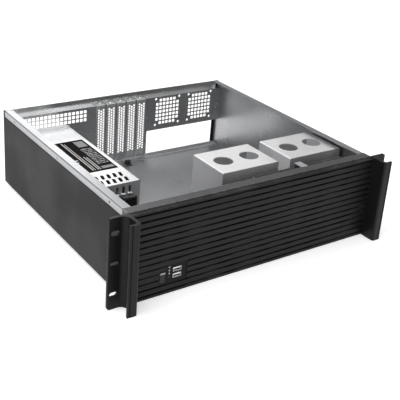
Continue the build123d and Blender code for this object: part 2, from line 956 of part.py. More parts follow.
def drive_cage(x):
    """Inverted channel on feet that holds four drives, with two round holes in its top."""
    half = cage_width / 2
    path = [(half - cage_foot, floor_top), (half, floor_top), (half, cage_top), (-half, cage_top),
            (-half, floor_top), (-half + cage_foot, floor_top)]
    back = cage_front + cage_depth
    part = along_y(Pos(x, 0) * folded(path, sheet), cage_front, back)
    lip = ((x - half + sheet, x + half - sheet), (cage_front, cage_front + sheet),
           (cage_top - cage_lip, cage_top - sheet))
    part += block(*lip)
    for dx in (-cage_hole_offset, cage_hole_offset):
        part -= rod_z(x + dx, cage_front + cage_depth / 2, cage_hole_radius, cage_top - 3, cage_top + 1)
    for y, z in drive_holes():
        part -= rod_x(y, z, drive_hole_radius, x - half - 1, x + half + 1)
    for sx, sy in cage_screws():
        part -= screw_hole_z(sx, sy, floor_top - 1, floor_top + sheet + 1)
    return part


def drive_holes():
    """Places in Y and Z of the drive screws in a cage's sides."""
    middle = cage_front + cage_depth / 2 + drive_offset
    rows = [floor_top + first_drive_lift + drive_pitch * i for i in range(drive_rows)]
    return [(middle + j * drive_hole_span / 2, z) for z in rows for j in (-1, 1)]


def cage_screws():
    """Foot screws of both cages."""
    offset = cage_width / 2 - cage_screw_inset
    ys = (cage_front + cage_screw_end, cage_front + cage_depth - cage_screw_end)
    return [(x + side * offset, y) for x in (cage_left_x, cage_right_x) for side in (-1, 1) for y in ys]


def floor_screws():
    """Screws of the cage feet and the supply's bracket, into the floor."""
    seat = floor_top + sheet
    return group([screw_z(x, y, seat, floor_screw_length) for x, y in cage_screws() + bracket_screws()])


# Fans

def fan_frame(size, depth, span):
    """Square fan frame about the Z axis: two flanges, a tunnel, four arms and a shaft."""
    bore = size / 2 - fan_wall
    ring = chamfer(Rectangle(size, size).vertices(), fan_corner) - Circle(bore)
    for dx, dy in square_corners(span):
        ring -= Pos(dx, dy) * screw_hole()
    part = extrude(ring, fan_flange) + Pos(0, 0, depth - fan_flange) * extrude(ring, fan_flange)
    part += extrude(Circle(bore + fan_tunnel) - Circle(bore), depth)
    hub = size * fan_hub_share
    arm_low = depth - fan_arm
    part += Pos(0, 0, arm_low) * extrude(Circle(hub), fan_arm)
    for i in range(4):
        arm = block((hub - 1, bore + fan_tunnel / 2), (-fan_arm_half, fan_arm_half), (arm_low, depth))
        part += Rot(0, 0, 45 + 90 * i) * arm
    return part + Pos(0, 0, fan_shaft_start) * extrude(Circle(fan_shaft_radius), depth - fan_shaft_start)


def fan_rotor(size, depth):
    """Hub and curved blades about the Z axis, on the frame's shaft."""
    hub = size * fan_hub_share
    tip = size / 2 - fan_wall - fan_tip_gap
    low, high = fan_rotor_front, depth - fan_arm - fan_rotor_gap
    body = Pos(0, 0, low) * extrude(Circle(hub), high - low)
    for i in range(fan_blades):
        body += Rot(0, 0, 360 / fan_blades * i) * fan_blade(hub, tip, size * fan_chord_share, low, high)
    bore = extrude(Circle(fan_shaft_radius + fan_fit), depth)
    return body - Pos(0, 0, fan_shaft_start - fan_rotor_gap) * bore


def fan_blade(hub, tip, half_chord, low, high):
    """One blade: an arched strip on a slant, carried out from the hub to just inside the tunnel."""
    start, end = (-half_chord, low + fan_blade_margin), (half_chord, high - fan_blade_margin)
    arch = ((low + high) / 2) + fan_blade_arch
    upper = ThreePointArc(start, (0, arch), end)
    lower = Pos(0, -fan_blade_thickness) * upper
    sides = [Line(upper @ 1, lower @ 1), Line(lower @ 0, upper @ 0)]
    face = make_face([upper, lower] + sides)
    reach = (tip ** 2 - half_chord ** 2) ** 0.5
    return along_x(face, hub - 1, reach)


def facing_back(part, x, y, z):
    """A piece drawn about the Z axis, turned so that its axis runs along Y."""
    return Pos(x, y, z) * Rot(-90, 0, 0) * part


def front_fan_frame(x):
    """Frame of one front fan, against the inner front sheet."""
    return facing_back(fan_frame(front_fan_size, front_fan_depth, front_fan_span), x, sheet_back, front_fan_z)


def front_fan_rotor(x):
    """Rotor of one front fan."""
    return facing_back(fan_rotor(front_fan_size, front_fan_depth), x, sheet_back, front_fan_z)


def front_fan_screws():
    """Long screws through both front fans into the front sheet."""
    seat = sheet_back + front_fan_depth
    screws = []
    for x in front_fan_x:
        for dx, dz in square_corners(front_fan_span):
            screws.append(screw_y(x + dx, front_fan_z + dz, seat, front_fan_depth + sheet, -1))
    return group(screws)


def fan_post():
    """Channel between the two front fans, closed by a tab at its top."""
    x = sum(front_fan_x) / 2
    half = post_width / 2
    top = case_top - sheet
    up = (floor_top + sheet, top)
    part = block((x - half, x + half), (sheet_back, sheet_back + sheet), up)
    for low in (x - half, x + half - sheet):
        part += block((low, low + sheet), (sheet_back, sheet_back + post_depth), up)
    end = sheet_back + post_tab_reach
    tab = block((x - half, x + half), (front_end, end), (top, case_top))
    return part + tab + block((x - half, x + half), (end - sheet, end), (top - post_tab_drop, top))


# Power supply

def psu_screw_places():
    """Four screws that hold the supply to the rear wall."""
    xs = (psu_left + psu_screw_inset, psu_right - psu_screw_inset)
    zs = (floor_top + psu_screw_inset, psu_top - psu_screw_inset)
    return [(x, z) for x in xs for z in zs]


def psu_base():
    """Bottom and both ends of the supply's box, with vents and lipped slots at the front end."""
    path = [(psu_front, psu_top - psu_sheet), (psu_front, floor_top), (rear_wall, floor_top),
            (rear_wall, psu_top - psu_sheet)]
    part = along_x(folded(path, psu_sheet), psu_left + psu_sheet, psu_right - psu_sheet)
    cut = psu_sheet + bend + running_gap
    for x, inward in ((psu_left + psu_sheet, 1), (psu_right - psu_sheet, -1)):
        corner = outline([(x, psu_top), (x + inward * cut, psu_top), (x, psu_top - cut)])
        part -= along_y(corner, psu_front - 1, rear_wall + 1)
    front = (psu_front - 1, psu_front + psu_sheet + 1)
    for x in psu_slot_x():
        half = psu_slot_width / 2
        high = psu_top - psu_slot_top
        part -= block((x - half, x + half), front, (high - psu_slot_length, high))
        half = psu_lip_width / 2
        high -= psu_slot_length + psu_lip_gap
        part += block((x - half, x + half), (psu_front - psu_lip_reach, psu_front), (high - psu_sheet, high))
    width, height = socket_width - 2 * socket_lip, socket_height - 2 * socket_lip
    part -= along_y(plate_face(width, height, psu_socket_centre()), *front)
    rear = (rear_wall - psu_sheet - 1, rear_wall + 1)
    part -= rod_y(psu_fan_x, psu_fan_z, psu_fan_size / 2 - 2.5, *rear)
    for dx, dz in square_corners(psu_fan_span):
        part -= screw_hole_y(psu_fan_x + dx, psu_fan_z + dz, *rear)
    for sx, sz in psu_screw_places():
        part -= screw_hole_y(sx, sz, *rear)
    for width, height, z in ((inlet_body_width, inlet_body_height, inlet_z()),
                             (switch_body_width, switch_body_height, switch_z())):
        opening = plate_face(width + 2 * screw_gap, height + 2 * screw_gap, (psu_inlet_x, z))
        part -= along_y(opening, *rear)
    return part


def psu_slot_x():
    """Upright slots in the front end of the supply."""
    return [psu_right - psu_slot_inset - psu_slot_pitch * i for i in range(psu_slot_count)]


def psu_socket_centre():
    """Middle of the output socket block in X and Z."""
    return (psu_right - socket_inset, psu_top - socket_drop)


def psu_cover():
    """Top and sides of the supply's box, with slanted vents in the top."""
    path = [(psu_right, floor_top), (psu_right, psu_top), (psu_left, psu_top), (psu_left, floor_top)]
    part = along_y(folded(path, psu_sheet), psu_front, rear_wall)
    for x, y in psu_vent_places():
        slot = chamfer(Rectangle(psu_vent_length, psu_vent_width).vertices(), psu_vent_corner)
        slot = Rot(0, 0, psu_vent_slant) * slot
        part -= along_z(Pos(x, y) * slot, psu_top - 3, psu_top + 1)
    return part


def psu_vent_places():
    """Centres of the vents in the supply's top."""
    middle = (psu_left + psu_right) / 2 + psu_vent_offset
    places = []
    for i in range(psu_vent_columns):
        for j in range(psu_vent_rows):
            x = middle + (i - (psu_vent_columns - 1) / 2) * psu_vent_pitch
            places.append((x, psu_front + psu_vent_front + psu_vent_row_pitch * j))
    return places


def psu_label():
    """Plain rating plate on the supply's top."""
    right = psu_right - label_inset
    return block((right - label_width, right), (label_front, label_front + label_length),
                 (psu_top, psu_top + label_thickness))


def psu_socket_block():
    """Black block of output sockets on the supply's front end."""
    x, z = psu_socket_centre()
    end = psu_front - socket_depth
    body = along_y(plate_face(socket_width, socket_height, (x, z)), end, psu_front)
    body = fillet(body.edges().filter_by(Axis.Z).group_by(Axis.Y)[0], socket_round)
    for i in range(socket_columns):
        for j in range(socket_rows):
            across = x + (i - (socket_columns - 1) / 2) * socket_pitch
            up = z + (j - (socket_rows - 1) / 2) * socket_pitch
            body -= cube_y(across, up, socket_hole, end - 1, end + socket_hole_depth)
    return body


def psu_fan_frame():
    """Frame of the supply's exhaust fan, inside its rear end."""
    frame = fan_frame(psu_fan_size, psu_fan_depth, psu_fan_span)
    return facing_back(frame, psu_fan_x, rear_wall - psu_sheet - psu_fan_depth, psu_fan_z)


def psu_fan_rotor():
    """Rotor of the supply's fan."""
    rotor = fan_rotor(psu_fan_size, psu_fan_depth)
    return facing_back(rotor, psu_fan_x, rear_wall - psu_sheet - psu_fan_depth, psu_fan_z)


def psu_fan_guard():
    """Finger guard of rings and spokes on the supply's rear end."""
    face = Rot(0, 0, 45) * Rectangle(psu_fan_span * 2 ** 0.5, guard_wire)
    face += Rot(0, 0, 135) * Rectangle(psu_fan_span * 2 ** 0.5, guard_wire)
    face -= Circle(guard_rings[0] - guard_wire)
    for radius in guard_rings:
        face += Circle(radius) - Circle(radius - guard_wire)
    for dx, dz in square_corners(psu_fan_span):
        face += Pos(dx, dz) * RegularPolygon(guard_eye, 8)
    for dx, dz in square_corners(psu_fan_span):
        face -= Pos(dx, dz) * screw_hole()
    return along_y(Pos(psu_fan_x, psu_fan_z) * face, rear_wall, rear_wall + guard_thickness)


def psu_fan_screws():
    """Screws through the guard and the rear end into the fan frame."""
    seat = rear_wall + guard_thickness
    places = [(psu_fan_x + dx, psu_fan_z + dz) for dx, dz in square_corners(psu_fan_span)]
    return group([screw_y(x, z, seat, fan_screw_length, -1) for x, z in places])


def psu_screws():
    """Screws through the rear wall into the supply."""
    return group([screw_y(x, z, wall_back, psu_screw_length, -1) for x, z in psu_screw_places()])


def inlet_z():
    """Height of the mains inlet."""
    return floor_top + inlet_lift


def switch_z():
    """Height of the mains switch."""
    return inlet_z() + switch_rise


def psu_inlet():
    """Mains inlet: flange, body and the recess that takes the plug."""
    place = (psu_inlet_x, inlet_z())
    end = rear_wall + inlet_flange
    flange = along_y(plate_face(inlet_width, inlet_height, place), rear_wall, end)
    flange = chamfer(flange.edges().filter_by(Axis.Y), inlet_edge)
    body = plate_face(inlet_body_width, inlet_body_height, place)
    mouth = plate_face(inlet_mouth_width, inlet_mouth_height, place)
    mouth = chamfer(mouth.vertices().group_by(Axis.X)[-1], inlet_mouth_corner)
    return (flange + along_y(body, rear_wall - inlet_body_depth, rear_wall)
            - along_y(mouth, rear_wall - inlet_mouth_depth, end + 1))


def psu_inlet_pins():
    """Three flat pins inside the mains inlet."""
    x, z = psu_inlet_x, inlet_z()
    places = [(x + pin_left, z - pin_rise), (x + pin_left, z + pin_rise), (x + pin_right, z)]
    reach = (rear_wall - inlet_mouth_depth, rear_wall - pin_sunk)
    return group([along_y(plate_face(pin_width, pin_height, place), *reach) for place in places])


def psu_switch_frame():
    """Frame of the rocker switch."""
    place = (psu_inlet_x, switch_z())
    end = rear_wall + switch_flange
    flange = plate_face(switch_frame_width, switch_frame_height, place)
    body = plate_face(switch_body_width, switch_body_height, place)
    well = plate_face(switch_well_width, switch_well_height, place)
    frame = along_y(flange, rear_wall, end) + along_y(body, rear_wall - switch_body_depth, rear_wall)
    frame -= along_y(well, rear_wall - switch_well_depth, end + 1)
    half = (switch_well_width + switch_body_width) / 4
    return frame + rod_x(rocker_pivot_y(), place[1], pivot_radius, place[0] - half, place[0] + half)


def rocker_pivot_y():
    """Pivot of the rocker behind the supply's rear face."""
    return rear_wall - pivot_depth


def psu_rocker():
    """Rocker of the mains switch, with its off side pressed in."""
    x, z, y = psu_inlet_x, switch_z(), rocker_pivot_y()
    face, half = rear_wall + rocker_proud, rocker_half
    profile = outline([(y - rocker_root, z - rocker_root_half), (y - rocker_root, z + rocker_root_half),
                       (face - rocker_edge, z + half), (face, z + half - 0.4), (face - rocker_dish, z),
                       (face, z - half + 0.4), (face - rocker_edge, z - half)])
    rocker = along_x(profile, x - rocker_width / 2, x + rocker_width / 2)
    rocker -= rod_x(y, z, pivot_radius + fan_fit, x - rocker_width, x + rocker_width)
    return rocker.rotate(Axis((x, y, z), (1, 0, 0)), -rocker_tilt)


def psu_board_top():
    """Upper face of the supply's circuit board."""
    return floor_top + psu_sheet + psu_board_lift + board_thickness


def psu_board():
    """Circuit board inside the supply, on four feet."""
    top = psu_board_top()
    bottom = top - board_thickness
    x0, x1 = psu_left + psu_board_gap, psu_right - psu_board_gap
    y0, y1 = psu_front + psu_board_room, rear_wall - psu_fan_depth - psu_board_room
    part = block((x0, x1), (y0, y1), (bottom, top))
    for x in (x0 + psu_foot_inset, x1 - psu_foot_inset):
        for y in (y0 + psu_foot_inset, y1 - psu_foot_inset):
            part += cube_z(x, y, psu_foot_width, bottom - psu_board_lift, bottom)
    return part


def psu_heatsinks():
    """Two finned heat sinks on the supply's board."""
    low = psu_board_top()
    length = (psu_front + sink_front, psu_front + sink_front + sink_length)
    sinks = []
    for x in (psu_left + place for place in sink_places):
        sink = block((x, x + sink_wall), length, (low, low + sink_height))
        for i in range(fin_count):
            z = low + fin_start + fin_pitch * i
            sink += block((x + sink_wall, x + sink_wall + fin_reach), length, (z, z + fin_thickness))
        sinks.append(sink)
    return group(sinks)


def psu_transformer():
    """Main transformer: core and winding."""
    low = psu_board_top()
    x, y = (psu_left + psu_right) / 2, psu_front + transformer_front
    core = block((x - core_width / 2, x + core_width / 2), (y - core_depth / 2, y + core_depth / 2),
                 (low + core_lift, low + core_lift + core_height))
    return core + rod_z(x, y, winding_radius, low, low + winding_height)


def psu_capacitors():
    """Two large smoothing capacitors."""
    low = psu_board_top()
    x = (psu_left + psu_right) / 2
    ys = [psu_front + capacitor_front + capacitor_pitch * i for i in range(2)]
    return group([rod_z(x, y, capacitor_radius, low, low + capacitor_height) for y in ys])


def psu_bracket():
    """Angle on the floor that stops the supply's front end."""
    path = [(psu_front - bracket_foot, floor_top), (psu_front, floor_top),
            (psu_front, floor_top + bracket_height)]
    left = psu_left + bracket_inset
    bracket = along_x(folded(path, sheet), left, left + bracket_width)
    for x, y in bracket_screws():
        bracket -= screw_hole_z(x, y, floor_top - 1, floor_top + sheet + 1)
    return bracket


def bracket_screws():
    """Screws of the supply's bracket."""
    left = psu_left + bracket_inset
    y = psu_front - bracket_screw_back
    return [(left + bracket_screw_inset, y), (left + bracket_width - bracket_screw_inset, y)]


def cable_clip():
    """Small black clip on the floor near the rear wall."""
    y = rear_wall - clip_inset
    width = (clip_x - clip_width / 2, clip_x + clip_width / 2)
    ring = RegularPolygon(clip_radius, 8) - RegularPolygon(clip_radius - clip_wall, 8)
    foot = block(width, (y - 2.5 * clip_radius, y + clip_radius), (floor_top, floor_top + clip_wall))
    return along_x(Pos(y, floor_top + clip_radius) * ring, *width) + foot


def build_nodes():
    """Every piece of the case under its node name."""
    nodes = {
        "base_tray": base_tray(), "side_skin_right": side_skin(), "side_skin_left": mirrored(side_skin()),
        "front_sheet": front_sheet(), "front_panel": front_panel(),
        "ear_right": ear(), "ear_left": mirrored(ear()), "ear_screws": ear_screws(),
        "control_bezel": control_bezel(), "power_button": power_button(),
        "power_light_bar": power_light_bar(), "reset_button": reset_button(),
        "button_switches": button_switches(), "indicator_lenses": indicator_lenses(),
        "usb_shell_upper": usb_shell(usb_upper_z), "usb_shell_lower": usb_shell(usb_lower_z),
        "usb_tongue_upper": usb_tongue(usb_upper_z), "usb_tongue_lower": usb_tongue(usb_lower_z),
        "control_board": control_board(), "board_spacers": board_spacers(), "board_screws": board_screws(),
        "rear_panel": rear_panel(), "slot_screws": slot_screws(),
        "drive_cage_left": drive_cage(cage_left_x), "drive_cage_right": drive_cage(cage_right_x),
        "floor_screws": floor_screws(), "fan_post": fan_post(), "front_fan_screws": front_fan_screws(),
        "fan_frame_left": front_fan_frame(front_fan_x[0]), "fan_frame_right": front_fan_frame(front_fan_x[1]),
        "fan_rotor_left": front_fan_rotor(front_fan_x[0]), "fan_rotor_right": front_fan_rotor(front_fan_x[1]),
        "psu_base": psu_base(), "psu_cover": psu_cover(), "psu_label": psu_label(),
        "psu_socket_block": psu_socket_block(), "psu_fan_frame": psu_fan_frame(),
        "psu_fan_rotor": psu_fan_rotor(), "psu_fan_guard": psu_fan_guard(),
        "psu_fan_screws": psu_fan_screws(), "psu_screws": psu_screws(), "psu_inlet": psu_inlet(),
        "psu_inlet_pins": psu_inlet_pins(), "psu_switch_frame": psu_switch_frame(),
        "psu_rocker": psu_rocker(), "psu_board": psu_board(), "psu_heatsinks": psu_heatsinks(),
        "psu_transformer": psu_transformer(), "psu_capacitors": psu_capacitors(),
        "psu_bracket": psu_bracket(), "cable_clip": cable_clip(),
    }
    for number, x in enumerate(slot_x, start=1):
        nodes[f"slot_cover_{number}"] = slot_cover(x)
    return nodes


os.makedirs("parts", exist_ok=True)
for name, shape in build_nodes().items():
    export_step(shape, f"parts/{name}.step")
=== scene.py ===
import json
import logging
from dataclasses import dataclass, field
from enum import Enum
from typing import Any

import bmesh
import bpy
import numpy as np
from mathutils import Matrix, Vector


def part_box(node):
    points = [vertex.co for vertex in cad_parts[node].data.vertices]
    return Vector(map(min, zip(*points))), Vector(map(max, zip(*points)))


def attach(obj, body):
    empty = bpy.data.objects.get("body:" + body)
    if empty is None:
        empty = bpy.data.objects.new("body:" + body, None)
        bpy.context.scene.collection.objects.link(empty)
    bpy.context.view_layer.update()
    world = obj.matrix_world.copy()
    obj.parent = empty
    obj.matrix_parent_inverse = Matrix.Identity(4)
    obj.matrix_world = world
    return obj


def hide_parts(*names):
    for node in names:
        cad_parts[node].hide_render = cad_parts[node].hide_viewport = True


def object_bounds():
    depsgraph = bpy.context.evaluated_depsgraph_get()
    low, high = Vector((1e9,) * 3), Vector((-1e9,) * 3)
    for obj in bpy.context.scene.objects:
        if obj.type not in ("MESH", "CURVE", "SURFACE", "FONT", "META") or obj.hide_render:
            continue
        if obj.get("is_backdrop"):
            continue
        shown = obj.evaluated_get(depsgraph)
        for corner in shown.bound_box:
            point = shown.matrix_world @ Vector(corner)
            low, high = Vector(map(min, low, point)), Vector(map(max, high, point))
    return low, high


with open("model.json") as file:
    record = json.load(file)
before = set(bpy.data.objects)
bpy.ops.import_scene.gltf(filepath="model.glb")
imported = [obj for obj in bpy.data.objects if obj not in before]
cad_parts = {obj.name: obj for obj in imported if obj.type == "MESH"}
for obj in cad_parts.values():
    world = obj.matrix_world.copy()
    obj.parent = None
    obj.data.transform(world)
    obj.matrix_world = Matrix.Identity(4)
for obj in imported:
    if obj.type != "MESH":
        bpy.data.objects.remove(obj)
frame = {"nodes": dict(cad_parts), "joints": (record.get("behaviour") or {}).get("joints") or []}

Colour = tuple[float, float, float]
Span = tuple[float, float]
Window = tuple[float, float, float, float]
MM = 0.001
MEET = 0.001 * MM      # points nearer than this are one point
SHARP = 0.7            # radians between faces past which an edge stays sharp

logging.basicConfig(level=logging.INFO, format="%(name)s: %(message)s")
log = logging.getLogger("server_case")


class Lines(Enum):
    """Direction in which a sheet was rolled or a bar drawn, as the stretch of its grain."""

    ALONG_X = (14.0, 700.0, 700.0)
    ALONG_Y = (700.0, 14.0, 700.0)
    ALONG_Z = (700.0, 700.0, 14.0)
    NONE = (420.0, 420.0, 420.0)


class Out(Enum):
    """Direction in which a screw's head points."""

    BACK = (0.0, 1.0, 0.0)
    UP = (0.0, 0.0, 1.0)


# Shader building

def opaque(colour: Colour, share: float = 1.0) -> tuple[float, float, float, float]:
    """Returns a colour times a share, no part past 1, with full alpha."""
    return (*(min(1.0, part * share) for part in colour), 1.0)


@dataclass
class Graph:
    """A node tree with short calls that add nodes and join them."""

    tree: bpy.types.NodeTree

    def add(self, kind: str, inputs: dict[Any, Any] | None = None, **settings: Any) -> bpy.types.Node:
        """Adds a node.

        Args:
            kind: The node's type name.
            inputs: Socket name or number to a value or to another node's output.
            settings: Attributes of the node itself, set before its sockets are filled.

        Returns:
            The new node.
        """
        node = self.tree.nodes.new(kind)
        for name, value in settings.items():
            setattr(node, name, value)
        for key, value in (inputs or {}).items():
            self.feed(node.inputs[key], value)
        return node

    def feed(self, socket: bpy.types.NodeSocket, value: Any) -> None:
        """Links an output to a socket, or sets the socket's own value.

        Args:
            socket: The socket to fill.
            value: Another node's output, or a plain value.
        """
        if isinstance(value, bpy.types.NodeSocket):
            self.tree.links.new(value, socket)
        else:
            socket.default_value = value

    def math(self, operation: str, first: Any, second: Any = 0.0, clamp: bool = False) -> Any:
        """Joins two numbers with a Math node and returns its output."""
        node = self.add("ShaderNodeMath", {0: first, 1: second}, operation=operation, use_clamp=clamp)
        return node.outputs[0]

    def vector(self, operation: str, first: Any, second: Any) -> Any:
        """Joins two vectors with a Vector Math node and returns its output."""
        return self.add("ShaderNodeVectorMath", {0: first, 1: second}, operation=operation).outputs[0]

    def parts(self, vector: Any) -> Any:
        """Returns the outputs for a vector's x, y and z."""
        return self.add("ShaderNodeSeparateXYZ", {0: vector}).outputs

    def mix(self, factor: Any, first: Any, second: Any) -> Any:
        """Mixes two colours and returns the result."""
        return self.add("ShaderNodeMix", {0: factor, 6: first, 7: second}, data_type="RGBA").outputs[2]

    def rise(self, value: Any, low: float, high: float, start: float = 0.0, end: float = 1.0) -> Any:
        """Maps a value smoothly from the span low to high onto start to end."""
        inputs = {"Value": value, 1: low, 2: high, 3: start, 4: end}
        return self.add("ShaderNodeMapRange", inputs, interpolation_type="SMOOTHSTEP").outputs[0]

    def place(self) -> Any:
        """Returns the object coordinates, which are metres in the row frame."""
        return self.add("ShaderNodeTexCoord").outputs["Object"]

    def noise(self, vector: Any, scale: float, detail: float = 3.0) -> Any:
        """Returns a noise value between 0 and 1."""
        inputs = {"Vector": vector, "Scale": scale, "Detail": detail}
        return self.add("ShaderNodeTexNoise", inputs).outputs[0]

    def group(self, tree: bpy.types.NodeTree, **inputs: Any) -> Any:
        """Adds a node of a group, fills the named sockets and returns its outputs."""
        return self.add("ShaderNodeGroup", inputs, node_tree=tree).outputs


def empty_graph(owner: bpy.types.Material | bpy.types.World) -> Graph:
    """Empties the node tree of a material or a world.

    Args:
        owner: The material or world.

    Returns:
        The graph of its tree.
    """
    owner.use_nodes = True
    owner.node_tree.nodes.clear()
    return Graph(owner.node_tree)


def open_group(name: str, inputs: dict[str, str], outputs: dict[str, str]) -> tuple[Graph, Any, Any]:
    """Starts a shader node group with typed sockets.

    Args:
        name: The group's name.
        inputs: Input name to socket type.
        outputs: Output name to socket type.

    Returns:
        The graph of the group, its input node and its output node.
    """
    tree = bpy.data.node_groups.new(name, "ShaderNodeTree")
    for title, kind in inputs.items():
        tree.interface.new_socket(title, in_out="INPUT", socket_type=kind)
    for title, kind in outputs.items():
        tree.interface.new_socket(title, in_out="OUTPUT", socket_type=kind)
    graph = Graph(tree)
    return graph, graph.add("NodeGroupInput"), graph.add("NodeGroupOutput")


@dataclass
class Effects:
    """The effects that several finishes share, each a node group that is built once."""

    wear: bpy.types.NodeTree = field(init=False)
    grain: bpy.types.NodeTree = field(init=False)
    mottle: bpy.types.NodeTree = field(init=False)
    dust: bpy.types.NodeTree = field(init=False)
    wear_scale: float = 160.0
    wear_span: Span = (0.38, 0.62)
    fine_lines: float = 2.2
    broad_lines: float = 0.35
    line_span: Span = (0.6, 1.4)
    warp_scale: float = 60.0
    warp_reach: float = 6.0 * MM
    flake_scale: float = 130.0
    cloud_scale: float = 9.0
    cloud_span: Span = (0.3, 0.7)
    dust_scale: float = 24.0
    dust_span: Span = (0.35, 0.85)
    facing_up: Span = (0.3, 1.0)

    def __post_init__(self) -> None:
        """Builds the four groups."""
        self.wear, self.grain = self.edge_wear(), self.drawn_grain()
        self.mottle, self.dust = self.zinc_mottle(), self.resting_dust()

    def edge_wear(self) -> bpy.types.NodeTree:
        """Rubbed edges of a piece's bounding box.

        With the distances to the nearest face on each axis in order of size, the second one is the
        distance to the nearest edge of the box. The mask falls from 1 at that edge to 0 at Width.

        Returns:
            The node group.
        """
        graph, given, made = open_group(
            "edge_wear", {"Low": "NodeSocketVector", "High": "NodeSocketVector", "Width": "NodeSocketFloat"},
            {"Mask": "NodeSocketFloat"})
        place = graph.place()
        near = graph.vector("SUBTRACT", place, given.outputs["Low"])
        far = graph.vector("SUBTRACT", given.outputs["High"], place)
        x, y, z = graph.parts(graph.vector("MINIMUM", near, far))
        smaller, larger = graph.math("MINIMUM", x, y), graph.math("MAXIMUM", x, y)
        edge = graph.math("MAXIMUM", smaller, graph.math("MINIMUM", larger, z))
        band = graph.rise(graph.math("DIVIDE", edge, given.outputs["Width"]), 0.0, 1.0, 1.0, 0.0)
        broken = graph.rise(graph.noise(place, self.wear_scale), *self.wear_span)
        graph.feed(made.inputs["Mask"], graph.math("MULTIPLY", band, broken))
        return graph.tree

    def drawn_grain(self) -> bpy.types.NodeTree:
        """Fine lines along a rolled sheet or a drawn bar: noise that is stretched along one axis.

        Returns:
            The node group.
        """
        graph, given, made = open_group(
            "drawn_grain", {"Stretch": "NodeSocketVector"},
            {"Height": "NodeSocketFloat", "Tone": "NodeSocketFloat"})
        lines = graph.vector("MULTIPLY", graph.place(), given.outputs["Stretch"])
        fine = graph.noise(lines, self.fine_lines, detail=4.0)
        broad = graph.noise(lines, self.broad_lines, detail=2.0)
        graph.feed(made.inputs["Height"], fine)
        graph.feed(made.inputs["Tone"], graph.rise(graph.math("ADD", fine, broad), *self.line_span))
        return graph.tree

    def zinc_mottle(self) -> bpy.types.NodeTree:
        """Soft flakes of a zinc coating, 6 to 10 mm across, over slow cloudy changes.

        Returns:
            The node group.
        """
        graph, _, made = open_group(
            "zinc_mottle", {}, {"Tone": "NodeSocketFloat", "Cloud": "NodeSocketFloat"})
        place = graph.place()
        warp = graph.add("ShaderNodeTexNoise", {"Vector": place, "Scale": self.warp_scale}).outputs[1]
        bent = graph.vector("ADD", place, graph.vector("MULTIPLY", warp, (self.warp_reach,) * 3))
        flakes = graph.add("ShaderNodeTexVoronoi", {"Vector": bent, "Scale": self.flake_scale})
        tones = graph.add("ShaderNodeSeparateColor", {0: flakes.outputs["Color"]})
        graph.feed(made.inputs["Tone"], tones.outputs[0])
        graph.feed(made.inputs["Cloud"], graph.rise(graph.noise(place, self.cloud_scale), *self.cloud_span))
        return graph.tree

    def resting_dust(self) -> bpy.types.NodeTree:
        """Thin dust on what faces up, thicker in patches.

        Returns:
            The node group.
        """
        graph, _, made = open_group("resting_dust", {}, {"Mask": "NodeSocketFloat"})
        normal = graph.add("ShaderNodeNewGeometry").outputs["Normal"]
        up = graph.rise(graph.parts(normal)[2], *self.facing_up)
        patches = graph.rise(graph.noise(graph.place(), self.dust_scale), *self.dust_span)
        graph.feed(made.inputs["Mask"], graph.math("MULTIPLY", up, patches))
        return graph.tree


EFFECTS = Effects()


# Finishes

@dataclass(frozen=True)
class Finish:
    """What every finish shares: a Principled surface whose colour, gloss and relief vary over it."""

    base: Colour
    roughness: float = 0.5
    metallic: float = 0.0
    relief_mm: float = 0.01
    relief_strength: float = 0.6
    wear_mm: float = 0.6
    worn: Colour = (0.5, 0.5, 0.5)
    wear_amount: float = 0.5
    dust_amount: float = 0.1
    dust_colour: Colour = (0.55, 0.54, 0.52)
    dust_roughness: float = 0.4
    lines: Lines = Lines.NONE
    tone: float = 0.1
    gloss_sway: float = 0.12
    sheen_level: float = 0.5

    def material(self, name: str, low: Vector, high: Vector) -> bpy.types.Material:
        """Builds the material of one piece.

        Args:
            name: The material's name.
            low: Lowest corner of the piece's box.
            high: Highest corner of the piece's box.

        Returns:
            The new material.
        """
        made = bpy.data.materials.new(name)
        graph = empty_graph(made)
        wear = graph.group(EFFECTS.wear, Low=low, High=high, Width=self.wear_mm * MM)[0]
        worn = graph.math("MULTIPLY", wear, self.wear_amount)
        dust = graph.math("MULTIPLY", graph.group(EFFECTS.dust)[0], self.dust_amount)
        colour = graph.mix(worn, self.colour(graph, low, high), opaque(self.worn))
        colour = graph.mix(dust, colour, opaque(self.dust_colour))
        dulled = graph.math("MULTIPLY", dust, self.dust_roughness)
        bump = graph.add("ShaderNodeBump", {
            "Strength": self.relief_strength, "Distance": self.relief_mm * MM, "Height": self.height(graph)})
        surface = graph.add("ShaderNodeBsdfPrincipled", {
            "Base Color": colour, "Roughness": graph.math("ADD", self.gloss(graph), dulled, clamp=True),
            "Metallic": self.metallic, "Normal": bump.outputs[0], "Specular IOR Level": self.sheen_level})
        self.finish_surface(surface)
        graph.add("ShaderNodeOutputMaterial", {0: surface.outputs[0]})
        return made

    def colour(self, graph: Graph, low: Vector, high: Vector) -> Any:
        """Base colour, a little lighter and darker along the grain."""
        tone = graph.group(EFFECTS.grain, Stretch=self.lines.value)["Tone"]
        return graph.mix(tone, opaque(self.base, 1 - self.tone), opaque(self.base, 1 + self.tone))

    def gloss(self, graph: Graph) -> Any:
        """Roughness with slow changes over the surface."""
        smooth, rough = self.roughness * (1 - self.gloss_sway), self.roughness * (1 + self.gloss_sway)
        return graph.rise(graph.group(EFFECTS.mottle)["Cloud"], 0.0, 1.0, smooth, min(1.0, rough))

    def height(self, graph: Graph) -> Any:
        """Relief of the grain."""
        return graph.group(EFFECTS.grain, Stretch=self.lines.value)["Height"]

    def finish_surface(self, surface: bpy.types.Node) -> None:
        """Sets what only some finishes have."""


